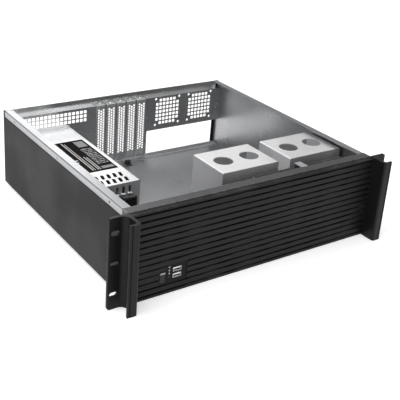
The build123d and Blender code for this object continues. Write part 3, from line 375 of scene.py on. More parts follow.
@dataclass(frozen=True)
class ZincSheet(Finish):
    """Galvanised sheet: soft zinc flakes and rolling lines under a satin gloss."""

    base: Colour = (0.60, 0.61, 0.62)
    roughness: float = 0.36
    metallic: float = 0.9
    worn: Colour = (0.85, 0.85, 0.86)
    dust_amount: float = 0.02
    lines: Lines = Lines.ALONG_Y
    tone: float = 0.05
    flake_share: float = 0.35
    flake_shine: float = 1.07

    def colour(self, graph: Graph, low: Vector, high: Vector) -> Any:
        """Rolling lines with zinc flakes mixed over them."""
        flakes = graph.math("MULTIPLY", graph.group(EFFECTS.mottle)["Tone"], self.flake_share)
        return graph.mix(flakes, super().colour(graph, low, high), opaque(self.base, self.flake_shine))


@dataclass(frozen=True)
class PowderCoat(Finish):
    """Fine matt powder coat: a dense orange peel of about half a millimetre."""

    base: Colour = (0.013, 0.013, 0.014)
    roughness: float = 0.55
    relief_mm: float = 0.05
    worn: Colour = (0.12, 0.12, 0.125)
    sheen_level: float = 0.24
    grains_a_metre: float = 1900.0

    def height(self, graph: Graph) -> Any:
        """Round grains about 0.5 mm apart."""
        inputs = {"Vector": graph.place(), "Scale": self.grains_a_metre}
        return graph.add("ShaderNodeTexVoronoi", inputs, feature="SMOOTH_F1").outputs["Distance"]


@dataclass(frozen=True)
class Anodised(Finish):
    """Black anodised extrusion: die lines along the bar and a soft metal sheen."""

    base: Colour = (0.008, 0.008, 0.0085)
    roughness: float = 0.44
    metallic: float = 0.25
    worn: Colour = (0.24, 0.24, 0.25)
    tone: float = 0.18
    sheen_level: float = 0.22


@dataclass(frozen=True)
class Moulding(Finish):
    """Moulded plastic with a fine spark texture."""

    base: Colour = (0.018, 0.018, 0.02)
    roughness: float = 0.48
    relief_mm: float = 0.03
    worn: Colour = (0.07, 0.07, 0.075)
    wear_mm: float = 0.4


@dataclass(frozen=True)
class Plating(Finish):
    """Bright zinc or nickel plate."""

    base: Colour = (0.72, 0.72, 0.70)
    roughness: float = 0.24
    metallic: float = 1.0
    relief_mm: float = 0.006
    wear_amount: float = 0.15
    worn: Colour = (0.9, 0.9, 0.88)
    tone: float = 0.06


@dataclass(frozen=True)
class ClearLens(Finish):
    """Clear moulded light pipe."""

    base: Colour = (0.36, 0.38, 0.37)
    roughness: float = 0.2
    wear_amount: float = 0.05
    clear_share: float = 0.35
    coat: float = 0.4

    def finish_surface(self, surface: bpy.types.Node) -> None:
        """Lets some light through and gives a smooth coat."""
        surface.inputs["Transmission Weight"].default_value = self.clear_share
        surface.inputs["Coat Weight"].default_value = self.coat


@dataclass(frozen=True)
class SolderMask(Finish):
    """Circuit board: a green mask over thin tracks that run across each other."""

    base: Colour = (0.01, 0.10, 0.035)
    roughness: float = 0.34
    worn: Colour = (0.35, 0.33, 0.2)
    second: Colour = (0.012, 0.12, 0.04)
    track: Colour = (0.03, 0.20, 0.08)
    blocks_a_metre: float = 150.0
    block_length: float = 0.9
    track_width: float = 0.05

    def colour(self, graph: Graph, low: Vector, high: Vector) -> Any:
        """Blocks of mask 6 mm long in two greens, with paler tracks between them."""
        bricks = graph.add("ShaderNodeTexBrick", {
            "Vector": graph.place(), "Scale": self.blocks_a_metre, "Brick Width": self.block_length,
            "Mortar Size": self.track_width, "Mortar": opaque(self.track),
            "Color1": opaque(self.base), "Color2": opaque(self.second)})
        return bricks.outputs["Color"]


@dataclass(frozen=True)
class Winding(Finish):
    """Taped winding: amber tape in turns, with darker laps."""

    base: Colour = (0.55, 0.42, 0.08)
    roughness: float = 0.35
    shade: Colour = (0.2, 0.15, 0.03)
    lap: float = 6.0 * MM
    shade_share: float = 0.15

    def colour(self, graph: Graph, low: Vector, high: Vector) -> Any:
        """Laps of tape up the piece, each dark at its lower edge."""
        turn = graph.math("FRACT", graph.math("DIVIDE", graph.parts(graph.place())[2], self.lap))
        return graph.mix(graph.rise(turn, 0.0, self.shade_share), opaque(self.shade), opaque(self.base))


@dataclass(frozen=True)
class RatingFilm(Finish):
    """Printed film with plain fields: pale bars, grey blocks and a fine mottled block.

    Each field is (left, front, right, back) in shares of the film's width and length.
    """

    base: Colour = (0.004, 0.004, 0.005)
    roughness: float = 0.62
    wear_amount: float = 0.05
    dust_amount: float = 0.01
    sheen_level: float = 0.05
    pale: Colour = (0.62, 0.62, 0.60)
    grey: Colour = (0.30, 0.30, 0.30)
    bars: tuple[Window, ...] = (
        (0.22, 0.04, 0.255, 0.96), (0.295, 0.04, 0.32, 0.93), (0.40, 0.04, 0.43, 0.46),
        (0.47, 0.04, 0.50, 0.44), (0.02, 0.30, 0.10, 0.33), (0.02, 0.37, 0.14, 0.40),
    )
    blocks: tuple[Window, ...] = ((0.62, 0.76, 0.93, 0.95), (0.56, 0.05, 0.95, 0.12))
    mottled: Window = (0.58, 0.18, 0.94, 0.70)
    speckle_scale: float = 700.0
    speckle_span: Span = (0.50, 0.56)
    row_pitch: float = 6.5 * MM
    row_gap: float = 0.38

    def colour(self, graph: Graph, low: Vector, high: Vector) -> Any:
        """Prints the bars and blocks, then the mottled block, whose speckles stand in rows.

        Args:
            graph: The material's graph.
            low: Lowest corner of the film's box.
            high: Highest corner of the film's box.

        Returns:
            The colour's output.
        """
        size = high - low
        offset = graph.vector("SUBTRACT", graph.place(), tuple(low))
        across, along, _ = graph.parts(graph.vector("DIVIDE", offset, (size.x, size.y, 1.0)))
        colour: Any = opaque(self.base)
        for windows, shade in ((self.bars, self.pale), (self.blocks, self.grey)):
            for window in windows:
                colour = graph.mix(self.field_mask(graph, across, along, window), colour, opaque(shade))
        speckle = graph.noise(graph.place(), self.speckle_scale, detail=1.0)
        speckle = graph.rise(speckle, *self.speckle_span)
        row = graph.math("FRACT", graph.math("DIVIDE", graph.parts(graph.place())[1], self.row_pitch))
        rows = graph.math("MULTIPLY", speckle, graph.math("GREATER_THAN", row, self.row_gap))
        mottled = graph.math("MULTIPLY", self.field_mask(graph, across, along, self.mottled), rows)
        return graph.mix(mottled, colour, opaque(self.pale))

    @staticmethod
    def field_mask(graph: Graph, across: Any, along: Any, window: Window) -> Any:
        """Marks one field of the film.

        Args:
            graph: The material's graph.
            across: Share of the film's width.
            along: Share of the film's length.
            window: The field.

        Returns:
            An output that is 1 inside the field and 0 outside it.
        """
        left, front, right, back = window
        wide = graph.math("MULTIPLY", graph.math("GREATER_THAN", across, left),
                          graph.math("LESS_THAN", across, right))
        long = graph.math("MULTIPLY", graph.math("GREATER_THAN", along, front),
                          graph.math("LESS_THAN", along, back))
        return graph.math("MULTIPLY", wide, long)


def dress(node: str, finish: Finish) -> None:
    """Gives a CAD node its own copy of a finish.

    Args:
        node: The node's name.
        finish: The finish that it takes.
    """
    low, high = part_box(node)
    piece = frame["nodes"][node]
    piece.data.materials.clear()
    piece.data.materials.append(finish.material(f"{node}_finish", low, high))
    log.info("%s takes %s", node, type(finish).__name__)


# Mesh building

def corners_of(mesh: bpy.types.Mesh) -> np.ndarray:
    """Reads a mesh's points.

    Args:
        mesh: The mesh.

    Returns:
        Its points, one row each, in metres.
    """
    points = np.empty(len(mesh.vertices) * 3, np.float32)
    mesh.vertices.foreach_get("co", points)
    return points.reshape(-1, 3)


def grid_mesh(name: str, sheets: list[np.ndarray]) -> bpy.types.Mesh:
    """Makes a mesh from grids of points, each closed round its columns.

    Point (i, j) of each grid is joined to (i + 1, j), (i + 1, j + 1) and (i, j + 1), so a face's
    corners are found by index arithmetic alone.

    Args:
        name: The mesh's name.
        sheets: Grids of points, each rows x columns x 3, in metres.

    Returns:
        The new mesh.
    """
    points, faces, start = [], [], 0
    for sheet in sheets:
        rows, columns = sheet.shape[:2]
        i, j = np.meshgrid(np.arange(rows - 1), np.arange(columns), indexing="ij")
        right = (j + 1) % columns
        corners = [i * columns + j, i * columns + right, (i + 1) * columns + right, (i + 1) * columns + j]
        faces.append(np.stack(corners, -1).reshape(-1, 4) + start)
        points.append(sheet.reshape(-1, 3))
        start += rows * columns
    return whole_mesh(name, np.concatenate(points), np.concatenate(faces))


def whole_mesh(name: str, points: np.ndarray, faces: np.ndarray) -> bpy.types.Mesh:
    """Makes a mesh, joins points that meet, drops faces without area and turns faces outwards.

    Args:
        name: The mesh's name.
        points: Corners, one row each, in metres.
        faces: Corner numbers, one row for each face.

    Returns:
        The new mesh.
    """
    mesh = bpy.data.meshes.new(name)
    mesh.from_pydata(points, [], faces.tolist())
    work = bmesh.new()
    work.from_mesh(mesh)
    bmesh.ops.remove_doubles(work, verts=work.verts, dist=MEET)
    bmesh.ops.dissolve_degenerate(work, edges=work.edges, dist=MEET)
    bmesh.ops.recalc_face_normals(work, faces=work.faces)
    work.to_mesh(mesh)
    work.free()
    mesh.polygons.foreach_set("use_smooth", np.ones(len(mesh.polygons), bool))
    mesh.set_sharp_from_angle(angle=SHARP)
    mesh.update()
    return mesh


def others(axis: int) -> list[int]:
    """Returns the numbers of the two axes across an axis."""
    return [k for k in range(3) if k != axis]


def circle(turn: np.ndarray) -> np.ndarray:
    """Returns the point (cos, sin) of the unit circle for each angle."""
    return np.stack([np.cos(turn), np.sin(turn)], -1)


def ring_grid(middle: np.ndarray, axis: int, spread: np.ndarray, depth: np.ndarray) -> np.ndarray:
    """Sets rings of points about a line along one axis.

    Args:
        middle: A point of the line.
        axis: Number of the line's axis.
        spread: Rings of offsets across the line, rows x columns x 2.
        depth: Place along the axis of each point, or one for each ring.

    Returns:
        The grid, one ring for each row.
    """
    grid = np.empty((*spread.shape[:2], 3))
    grid[..., others(axis)] = middle[others(axis)] + spread
    grid[..., axis] = depth
    return grid


def tube(path: np.ndarray, normal: np.ndarray, radius: float, around: int = 12,
         closed: bool = False) -> np.ndarray:
    """Grid of a round wire along a flat path.

    Each point of the path carries a ring: the point plus radius times (cos a * side + sin a *
    normal), where side is the path's direction turned into its plane. An open wire's ends are
    drawn in to a point.

    Args:
        path: Points of the wire's middle line.
        normal: Unit vector at right angles to the path's plane.
        radius: Half the wire's thickness.
        around: Corners of a ring.
        closed: Whether the path's end meets its start.

    Returns:
        The grid, one ring for each row.
    """
    if closed:
        path = np.concatenate([path, path[:1]])
        way = np.roll(path[:-1], -1, 0) - np.roll(path[:-1], 1, 0)
        way = np.concatenate([way, way[:1]])
    else:
        way = np.gradient(path, axis=0)
    way /= np.linalg.norm(way, axis=1, keepdims=True)
    side = np.cross(way, normal)
    turn = np.linspace(0, 2 * np.pi, around, endpoint=False)
    ring = np.cos(turn)[None, :, None] * side[:, None] + np.sin(turn)[None, :, None] * normal
    grid = path[:, None] + radius * ring
    if not closed:
        ends = [np.repeat(path[:1, None], around, 1), np.repeat(path[-1:, None], around, 1)]
        grid = np.concatenate([ends[0], grid, ends[1]])
    return grid


def linked(name: str, data: bpy.types.ID) -> bpy.types.Object:
    """Makes an object and puts it into the scene.

    Args:
        name: The object's name.
        data: Its mesh, light or camera.

    Returns:
        The new object.
    """
    made = bpy.data.objects.new(name, data)
    bpy.context.scene.collection.objects.link(made)
    return made


def new_piece(name: str, mesh: bpy.types.Mesh, body: str, finish: Finish) -> bpy.types.Object:
    """Makes an object of a mesh, gives it a finish and lets it ride on a body.

    Args:
        name: The piece's name.
        mesh: Its mesh, with the place in it.
        body: The body that it moves with.
        finish: Its finish.

    Returns:
        The new object.
    """
    piece = linked(name, mesh)
    points = corners_of(mesh)
    low, high = Vector(points.min(0).tolist()), Vector(points.max(0).tolist())
    mesh.materials.append(finish.material(f"{name}_finish", low, high))
    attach(piece, body)
    log.info("%s rides on %s with %d faces", name, body, len(mesh.polygons))
    return piece


@dataclass
class PanScrews:
    """Pan-head screws with a cross recess that stand for one CAD group of screws.

    own_share and rim_share are distances from a screw's middle in head radii: within the first a
    point is the screw's own, and past the second it is on the head's rim.
    """

    node: str
    out: Out
    slot: str = "screw_steel"
    finish: Finish = Plating()
    head_radius: float = 3.0 * MM
    head_height: float = 1.8 * MM
    edge_share: float = 0.25
    recess_radius: float = 1.7 * MM
    recess_half_width: float = 0.42 * MM
    recess_depth: float = 1.0 * MM
    neck_share: float = 0.48
    thread_pitch: float = 0.6 * MM
    thread_share: float = 0.05
    rings_a_turn: int = 4
    fewest_rings: int = 6
    shank_radius: float = 1.45 * MM
    own_share: float = 2.2
    rim_share: float = 0.8
    line_gap: float = 60.0 * MM
    around: int = 40

    @property
    def axis(self) -> int:
        """Number of the axis that the screws lie along."""
        return int(np.argmax(self.out.value))

    def build(self) -> bpy.types.Object:
        """Makes every screw of the group where its CAD solid is.

        Returns:
            The new object.
        """
        sheets = [self.screw(*place) for place in self.places()]
        piece = new_piece(f"{self.node}_detailed", grid_mesh(self.node, sheets), "chassis", self.finish)
        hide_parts(self.node)
        return piece

    def places(self) -> list[tuple[np.ndarray, float, float, int]]:
        """Finds each screw in the CAD group.

        The group's points are shared out by their place across the axis: those within about a
        head's width are one screw. The head is the end with the wider ring of points.

        Returns:
            For each screw, its middle across the axis, its seat, its far tip and the head's way.
        """
        axis, across = self.axis, others(self.axis)
        own_reach, rim_reach = self.own_share * self.head_radius, self.rim_share * self.head_radius
        left = corners_of(frame["nodes"][self.node].data).astype(float)
        found = []
        while len(left):
            near = np.linalg.norm(left[:, across] - left[0, across], axis=1) < own_reach
            own, left = left[near], left[~near]
            for group in self.split(own, axis):
                low, high = group.min(0), group.max(0)
                middle = (low + high) / 2
                wide = np.linalg.norm((group - middle)[:, across], axis=1) > rim_reach
                way = 1 if group[wide][:, axis].mean() > middle[axis] else -1
                top, tip = (high[axis], low[axis]) if way > 0 else (low[axis], high[axis])
                found.append((middle, top - way * self.head_height, tip, way))
        return found

    def split(self, points: np.ndarray, axis: int) -> list[np.ndarray]:
        """Parts the points of screws that stand in one line along the axis.

        Args:
            points: Points of one or more screws.
            axis: Number of the screws' axis.

        Returns:
            The points of each screw.
        """
        order = points[np.argsort(points[:, axis])]
        gaps = np.flatnonzero(np.diff(order[:, axis]) > self.line_gap) + 1
        return np.split(order, gaps)

    def screw(self, middle: np.ndarray, seat: float, tip: float, way: int) -> np.ndarray:
        """Grid of one screw, from the middle of its head to the end of its shank.

        At the share s of the head's radius, the head's height over its seat is head_height *
        (edge_share + (1 - edge_share) * (1 - s^4)^(1/2)), less the recess depth where a point lies
        in one of the two arms of the cross. The shank is a cylinder whose radius loses thread_share
        * (1 + cos(angle - turns along it)) of itself, which is a thread.

        Args:
            middle: The screw's middle across its axis.
            seat: The seat's place along the axis.
            tip: The shank's end along the axis.
            way: 1 if the head points along the axis, -1 if against it.

        Returns:
            The grid, one ring for each row.
        """
        axis = self.axis
        turn = np.linspace(0, 2 * np.pi, self.around, endpoint=False) * (way if axis == 2 else -way)
        over_recess, over_rim = np.linspace(0, 0.62, 12), np.linspace(0.66, 1.0, 8)
        share = np.concatenate([over_recess, over_rim, [1.0, self.neck_share]])
        radius = share * self.head_radius
        dome = self.head_height * np.sqrt(1 - share ** 4) * (1 - self.edge_share)
        dome = dome + self.edge_share * self.head_height
        spread = radius[:, None, None] * circle(turn)
        arm = np.abs(spread).min(-1) < self.recess_half_width
        inside = arm & (radius[:, None] < self.recess_radius)
        rise = dome[:, None] - np.where(inside, self.recess_depth, 0.0)
        rise[-2:] = 0.0
        head = ring_grid(middle, axis, spread, seat + way * rise)
        length = abs(tip - seat)
        rings = max(self.fewest_rings, int(length / (self.thread_pitch / self.rings_a_turn)))
        reach = np.linspace(0.0, length, rings)[:, None]
        thread = 1.0 - self.thread_share * (1 + np.cos(turn - 2 * np.pi * reach / self.thread_pitch))
        core = self.shank_radius * thread
        core[-1] = 0.0
        shank = ring_grid(middle, axis, core[..., None] * circle(turn), seat - way * reach)
        return np.concatenate([head, shank])


@dataclass
class VentedCover:
    """One slot cover: a thin sheet with three columns of small holes and its top bent over."""

    number: int
    finish: Finish
    sheet: float = 0.9 * MM
    bend: float = 0.5 * MM
    pitch_across: float = 4.5 * MM
    pitch_up: float = 4.7 * MM
    rows: int = 19
    hole: float = 1.9 * MM
    screw_hole: float = 1.6 * MM
    middle: float = 2.95 * MM
    screw_back: float = 399.35 * MM

    def build(self) -> bpy.types.Object:
        """Makes the cover in the place of its CAD node.

        Returns:
            The new object.
        """
        node = f"slot_cover_{self.number}"
        low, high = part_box(node)
        flat, faces = self.pierced(*self.net(low, high))
        mesh = whole_mesh(node, self.folded(flat, low, high), faces)
        piece = new_piece(f"{node}_detailed", mesh, "chassis", self.finish)
        wall = piece.modifiers.new("thickness", "SOLIDIFY")
        wall.thickness = self.sheet
        wall.offset = 0.0
        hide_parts(node)
        return piece

    def net(self, low: Vector, high: Vector) -> tuple[np.ndarray, np.ndarray, np.ndarray, np.ndarray]:
        """Lines of the flat sheet and the blocks of four cells that hold a hole.

        Lines stand half a pitch apart, so that a column can stand half a row higher than the next.

        Args:
            low: Lowest corner of the cover's box.
            high: Highest corner of the cover's box.

        Returns:
            Lines across, lines along, the first corner of each block and each block's hole radius.
        """
        inner = (low.x + high.x) / 2 + np.arange(-3, 4) * self.pitch_across / 2
        across = np.concatenate([[low.x], inner, [high.x]])
        half = self.pitch_up / 2
        straight = self.middle + np.arange(-self.rows, self.rows + 1) * half
        corner = high.z - self.sheet / 2 - self.bend
        arc = corner + np.linspace(0, np.pi / 2 * self.bend, 5)
        flat_start = low.y + self.sheet / 2 + self.bend
        tab, last = arc[-1] + self.screw_back - flat_start, arc[-1] + high.y - flat_start
        along = np.concatenate([
            [low.z, (low.z + straight[0]) / 2], straight, arc, [tab - half, tab, tab + half, last]])
        # The columns' blocks start at lines 1, 3 and 5, and the middle column half a row higher.
        outer = [(i, 2 + 2 * j) for i in (1, 5) for j in range(self.rows)]
        inside = [(3, 3 + 2 * j) for j in range(self.rows - 1)]
        # A tenth of a millimetre short of its first line, so that rounding can't pass it.
        screw = [(3, int(np.searchsorted(along, tab - half - 0.1 * MM)))]
        blocks = np.array(outer + inside + screw)
        radii = np.full(len(blocks), self.hole)
        radii[-1] = self.screw_hole
        return across, along, blocks, radii

    @staticmethod
    def pierced(across: np.ndarray, along: np.ndarray, blocks: np.ndarray,
                radii: np.ndarray) -> tuple[np.ndarray, np.ndarray]:
        """Flat sheet with a hole in each block.

        A block's four cells give way to eight faces between its eight outer corners and eight
        points that lie one radius from its middle, in the direction of those corners.

        Args:
            across: Lines across the sheet.
            along: Lines along the sheet.
            blocks: Line numbers of each block's first corner, across and along.
            radii: Radius of the hole in each block.

        Returns:
            Points (across, along) and faces.
        """
        rows = len(along)
        grid = np.stack(np.meshgrid(across, along, indexing="ij"), -1).reshape(-1, 2)
        i, j = np.meshgrid(np.arange(len(across) - 1), np.arange(rows - 1), indexing="ij")
        cell = np.stack([i * rows + j, (i + 1) * rows + j, (i + 1) * rows + j + 1, i * rows + j + 1], -1)
        taken = np.zeros(i.shape, bool)
        for di, dj in ((0, 0), (1, 0), (0, 1), (1, 1)):
            taken[blocks[:, 0] + di, blocks[:, 1] + dj] = True
        steps = np.array([(0, 0), (1, 0), (2, 0), (2, 1), (2, 2), (1, 2), (0, 2), (0, 1)])
        corner = (blocks[:, None, 0] + steps[:, 0]) * rows + blocks[:, None, 1] + steps[:, 1]
        middle = grid[(blocks[:, 0] + 1) * rows + blocks[:, 1] + 1]
        turn = np.pi * (np.arange(8) / 4 - 0.75)
        ring = middle[:, None] + radii[:, None, None] * circle(turn)
        number = len(grid) + np.arange(ring.shape[0] * 8).reshape(-1, 8)
        rim = np.stack([corner, np.roll(corner, -1, 1), np.roll(number, -1, 1), number], -1).reshape(-1, 4)
        points = np.concatenate([grid, ring.reshape(-1, 2)])
        used, faces = np.unique(np.concatenate([cell[~taken], rim]), return_inverse=True)
        return points[used], faces.reshape(-1, 4)

    def folded(self, flat: np.ndarray, low: Vector, high: Vector) -> np.ndarray:
        """Bends the flat sheet's middle surface: straight up, round a quarter circle, then back.

        Args:
            flat: Points of the flat sheet (across, along).
            low: Lowest corner of the cover's box.
            high: Highest corner of the cover's box.

        Returns:
            The points in the row frame.
        """
        along = flat[:, 1]
        corner = high.z - self.sheet / 2 - self.bend
        turn = np.clip((along - corner) / self.bend, 0, np.pi / 2)
        rest = np.maximum(along - corner - np.pi / 2 * self.bend, 0)
        up = np.where(along < corner, along, corner + self.bend * np.sin(turn))
        back = low.y + self.sheet / 2 + self.bend * (1 - np.cos(turn)) + rest
        return np.column_stack([flat[:, 0], back, up])


@dataclass
class Impeller:
    """Fan rotor: a round hub with a rolled edge and seven twisted blades."""

    node: str
    body: str
    finish: Finish
    blades: int = 7
    hub_share: float = 0.43
    roll_share: float = 0.16
    back_share: float = 0.9
    dish: float = 0.25 * MM
    bore: float = 1.6 * MM
    cap: float = 2.4 * MM
    root_share: float = 0.96
    tip_share: float = 0.995
    chord_share: float = 0.31
    chord_start: float = 0.8
    chord_gain: float = 0.35
    room_loss: float = 0.3
    wall_loss: float = 0.35
    thickness: float = 1.5 * MM
    arch: float = 2.0 * MM
    margin: float = 1.5 * MM
    sweep: float = 0.25

    def build(self) -> bpy.types.Object:
        """Makes the rotor inside the room that its CAD node turns in.

        Returns:
            The new object.
        """
        low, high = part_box(self.node)
        tip = max(high.x - low.x, high.z - low.z) / 2
        place = self.axle()
        sheets = [self.hub(place, tip, low.y, high.y)]
        for turn in np.arange(self.blades) * 2 * np.pi / self.blades:
            sheets.append(self.blade(place, tip, low.y, high.y, turn))
        piece = new_piece(f"{self.node}_detailed", grid_mesh(self.node, sheets), self.body, self.finish)
        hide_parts(self.node)
        return piece

    def axle(self) -> np.ndarray:
        """Reads the rotor's axis from the joint that its body turns on."""
        places = [joint["pos_m"] for joint in frame["joints"] if joint["child"] == self.body]
        return np.array(places[0])

    def hub(self, place: np.ndarray, tip: float, front: float, back: float) -> np.ndarray:
        """Hub as a profile turned about the axis.

        The profile runs from the middle of the dished front to its rolled edge, which is a quarter
        of an ellipse, along the side, in over the back to the bore and up the bore to its closed end.

        Args:
            place: The rotor's axis.
            tip: Radius of the blades' tips.
            front: Front of the rotor's room.
            back: Back of the rotor's room.

        Returns:
            The grid, one ring for each row.
        """
        radius = tip * self.hub_share
        roll = np.linspace(0, np.pi / 2, 8)
        face = np.array([0.0, 0.55, 0.60, 0.62])
        edge = 1 - self.roll_share + self.roll_share * np.sin(roll)
        radii = np.concatenate([
            face * radius, edge * radius,
            [radius, radius, self.back_share * radius, self.bore, self.bore, 0.0]])
        fall = np.concatenate([[self.dish] * 3, [0.0], self.roll_share * radius * (1 - np.cos(roll))])
        floor = front + self.cap
        depth = np.concatenate([fall + front, [(front + back) / 2, back, back, back, floor, floor]])
        turn = np.linspace(0, 2 * np.pi, 48, endpoint=False)
        return ring_grid(place, 1, radii[:, None, None] * circle(turn), depth[:, None])

    def blade(self, place: np.ndarray, tip: float, front: float, back: float, start: float) -> np.ndarray:
        """One blade: arched sections on cylinders about the axis, from inside the hub to the tip.

        At the share t of the way out, a section is an ellipse whose half chord lies along the
        direction from (-c, -h) to (c, h), with c = chord * (chord_start + chord_gain * t) around
        the cylinder and h = room * (1 - room_loss * t) along the axis. It is raised by arch * (1 -
        s^2) at the share s of the chord, and its angle about the axis is sweep * t plus the
        distance round the cylinder over the radius. The last row lies on the section's middle
        line, which closes the tip.

        Args:
            place: The rotor's axis.
            tip: Radius of the blades' tips.
            front: Front of the rotor's room.
            back: Back of the rotor's room.
            start: Angle of the blade's root about the axis.

        Returns:
            The grid, one section for each row.
        """
        out = np.append(np.linspace(0, 1, 12), 1.0)[:, None]
        root = self.hub_share * self.root_share
        radius = tip * (root + (self.tip_share - root) * out)
        half_chord = tip * self.chord_share * (self.chord_start + self.chord_gain * out)
        half_room = ((back - front) / 2 - self.margin) * (1 - self.room_loss * out)
        half_wall = self.thickness / 2 * (1 - self.wall_loss * out)
        half_wall[-1] = 0.0
        phase = np.linspace(0, 2 * np.pi, 24, endpoint=False)
        along, over = np.cos(phase), np.sin(phase)
        chord = np.hypot(half_chord, half_room)
        tilt_c, tilt_h = half_chord / chord, half_room / chord
        lift = half_wall * over + self.arch * (1 - along ** 2)
        around = chord * along * tilt_c - lift * tilt_h
        axial = chord * along * tilt_h + lift * tilt_c
        angle = start + self.sweep * out + around / radius
        depth = np.clip((front + back) / 2 + axial - self.arch / 2, front, back)
        return ring_grid(place, 1, radius[..., None] * circle(angle), depth)


@dataclass
class WireGuard:
    """Finger guard of round wire: rings, four spokes and an eye at each corner."""

    finish: Finish
    node: str = "psu_fan_guard"
    wire: float = 0.6 * MM
    rings: tuple[float, ...] = (8.2 * MM, 17.2 * MM, 26.2 * MM)
    screw_span: float = 50.0 * MM
    eye: float = 2.4 * MM
    around: int = 56

    def build(self) -> bpy.types.Object:
        """Bends the wires about the middle of the CAD guard.

        Returns:
            The new object.
        """
        low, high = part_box(self.node)
        centre = (np.array(low) + np.array(high)) / 2
        back = np.array([0.0, 1.0, 0.0])
        turn = np.linspace(0, 2 * np.pi, self.around, endpoint=False)
        hoop = np.stack([np.cos(turn), np.zeros_like(turn), np.sin(turn)], -1)
        sheets = [tube(centre + radius * hoop, back, self.wire, closed=True) for radius in self.rings]
        corner = self.screw_span / 2
        for x, z in ((-1, -1), (-1, 1), (1, -1), (1, 1)):
            way = np.array([x, 0.0, z]) / np.sqrt(2)
            reach = np.linspace(self.rings[0], corner * np.sqrt(2) - self.eye, 8)[:, None]
            sheets.append(tube(centre + reach * way, back, self.wire))
            middle = centre + np.array([x * corner, 0.0, z * corner])
            sheets.append(tube(middle + self.eye * hoop[::2], back, self.wire, closed=True))
        piece = new_piece(f"{self.node}_wire", grid_mesh(self.node, sheets), "chassis", self.finish)
        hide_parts(self.node)
        return piece


# Sub-assemblies

@dataclass
class CaseBody:
    """Tray, side skins, front sheet and post: the folded shell of the case."""

    # Tray zinc darkened to 0.40: painted shade standing in for the shade that the walls cast on the floor,
    # and the rims take it too.
    inside: Finish = ZincSheet(base=(0.40, 0.405, 0.415), roughness=0.30)
    # Front sheet zinc darkened to 0.12: painted shade for the strip behind the panel's top.
    across: Finish = ZincSheet(lines=Lines.ALONG_X, base=(0.12, 0.12, 0.125), roughness=0.42)
    bright: Finish = ZincSheet(lines=Lines.ALONG_X)
    skin: Finish = PowderCoat()
    clip: Finish = Moulding()

    def dress(self) -> None:
        """Finishes the shell's nodes."""
        dress("base_tray", self.inside)
        dress("front_sheet", self.across)
        dress("fan_post", self.bright)
        for node in ("side_skin_left", "side_skin_right"):
            dress(node, self.skin)
        dress("cable_clip", self.clip)
        PanScrews("floor_screws", Out.UP).build()


@dataclass
class FrontFace:
    """Ribbed panel and the two ears with their handles."""

    panel: Finish = Anodised(lines=Lines.ALONG_X)
    ear: Finish = Anodised(lines=Lines.ALONG_Z)
    screw: Finish = Plating(base=(0.05, 0.05, 0.05), roughness=0.35)

    def dress(self) -> None:
        """Finishes the panel and the ears."""
        dress("front_panel", self.panel)
        dress("ear_left", self.ear)
        dress("ear_right", self.ear)
        PanScrews("ear_screws", Out.BACK, finish=self.screw).build()


@dataclass
class ControlInset:
    """Bezel, buttons, lights, data sockets and the board behind them."""

    bezel: Finish = Moulding(base=(0.004, 0.004, 0.005), roughness=0.4, sheen_level=0.12, dust_amount=0.02)
    button: Finish = Moulding(base=(0.016, 0.016, 0.017), roughness=0.38, sheen_level=0.25)
    lens: Finish = ClearLens()
    shell: Finish = Plating(base=(0.78, 0.78, 0.76), roughness=0.2)
    tongue: Finish = Moulding(base=(0.75, 0.75, 0.73), worn=(0.85, 0.85, 0.84), roughness=0.35)
    board: Finish = SolderMask()
    spacer: Finish = Plating(base=(0.7, 0.62, 0.4))

    def dress(self) -> None:
        """Finishes each small piece of the inset."""
        finishes = {
            "control_bezel": self.bezel, "power_button": self.button, "reset_button": self.button,
            "power_light_bar": self.lens, "indicator_lenses": self.lens, "usb_shell_upper": self.shell,
            "usb_shell_lower": self.shell, "usb_tongue_upper": self.tongue, "usb_tongue_lower": self.tongue,
            "control_board": self.board, "board_spacers": self.spacer, "button_switches": self.bezel,
        }
        for node, finish in finishes.items():
            dress(node, finish)
        PanScrews("board_screws", Out.BACK).build()


@dataclass
class RearWall:
    """Vented rear wall and its slot covers."""

    wall: Finish = ZincSheet(lines=Lines.ALONG_X, base=(0.56, 0.565, 0.57), roughness=0.26, metallic=0.88)
    cover: Finish = ZincSheet(lines=Lines.ALONG_Z, base=(0.54, 0.545, 0.55), roughness=0.38, metallic=0.8)
    covers: int = 5

    def dress(self) -> None:
        """Finishes the wall, the covers and their screws."""
        dress("rear_panel", self.wall)
        for number in range(1, self.covers + 1):
            VentedCover(number, self.cover).build()
        PanScrews("slot_screws", Out.UP).build()


@dataclass
class DriveCages:
    """The two drive cages."""

    # Cage zinc lightened to near white: painted light standing in for the overhead light on the cage tops.
    sheet: Finish = ZincSheet(lines=Lines.ALONG_X, base=(0.93, 0.93, 0.935), roughness=0.40, metallic=0.88)

    def dress(self) -> None:
        """Finishes both cages."""
        dress("drive_cage_left", self.sheet)
        dress("drive_cage_right", self.sheet)


@dataclass
class FrontFans:
    """The two fans behind the front sheet."""

    frame_finish: Finish = Moulding(roughness=0.42)
    blade_finish: Finish = Moulding(base=(0.024, 0.024, 0.026), roughness=0.3)

    def dress(self) -> None:
        """Finishes the frames, rotors and screws."""
        for side in ("left", "right"):
            dress(f"fan_frame_{side}", self.frame_finish)
            Impeller(f"fan_rotor_{side}", f"fan_{side}", self.blade_finish).build()
        PanScrews("front_fan_screws", Out.BACK).build()


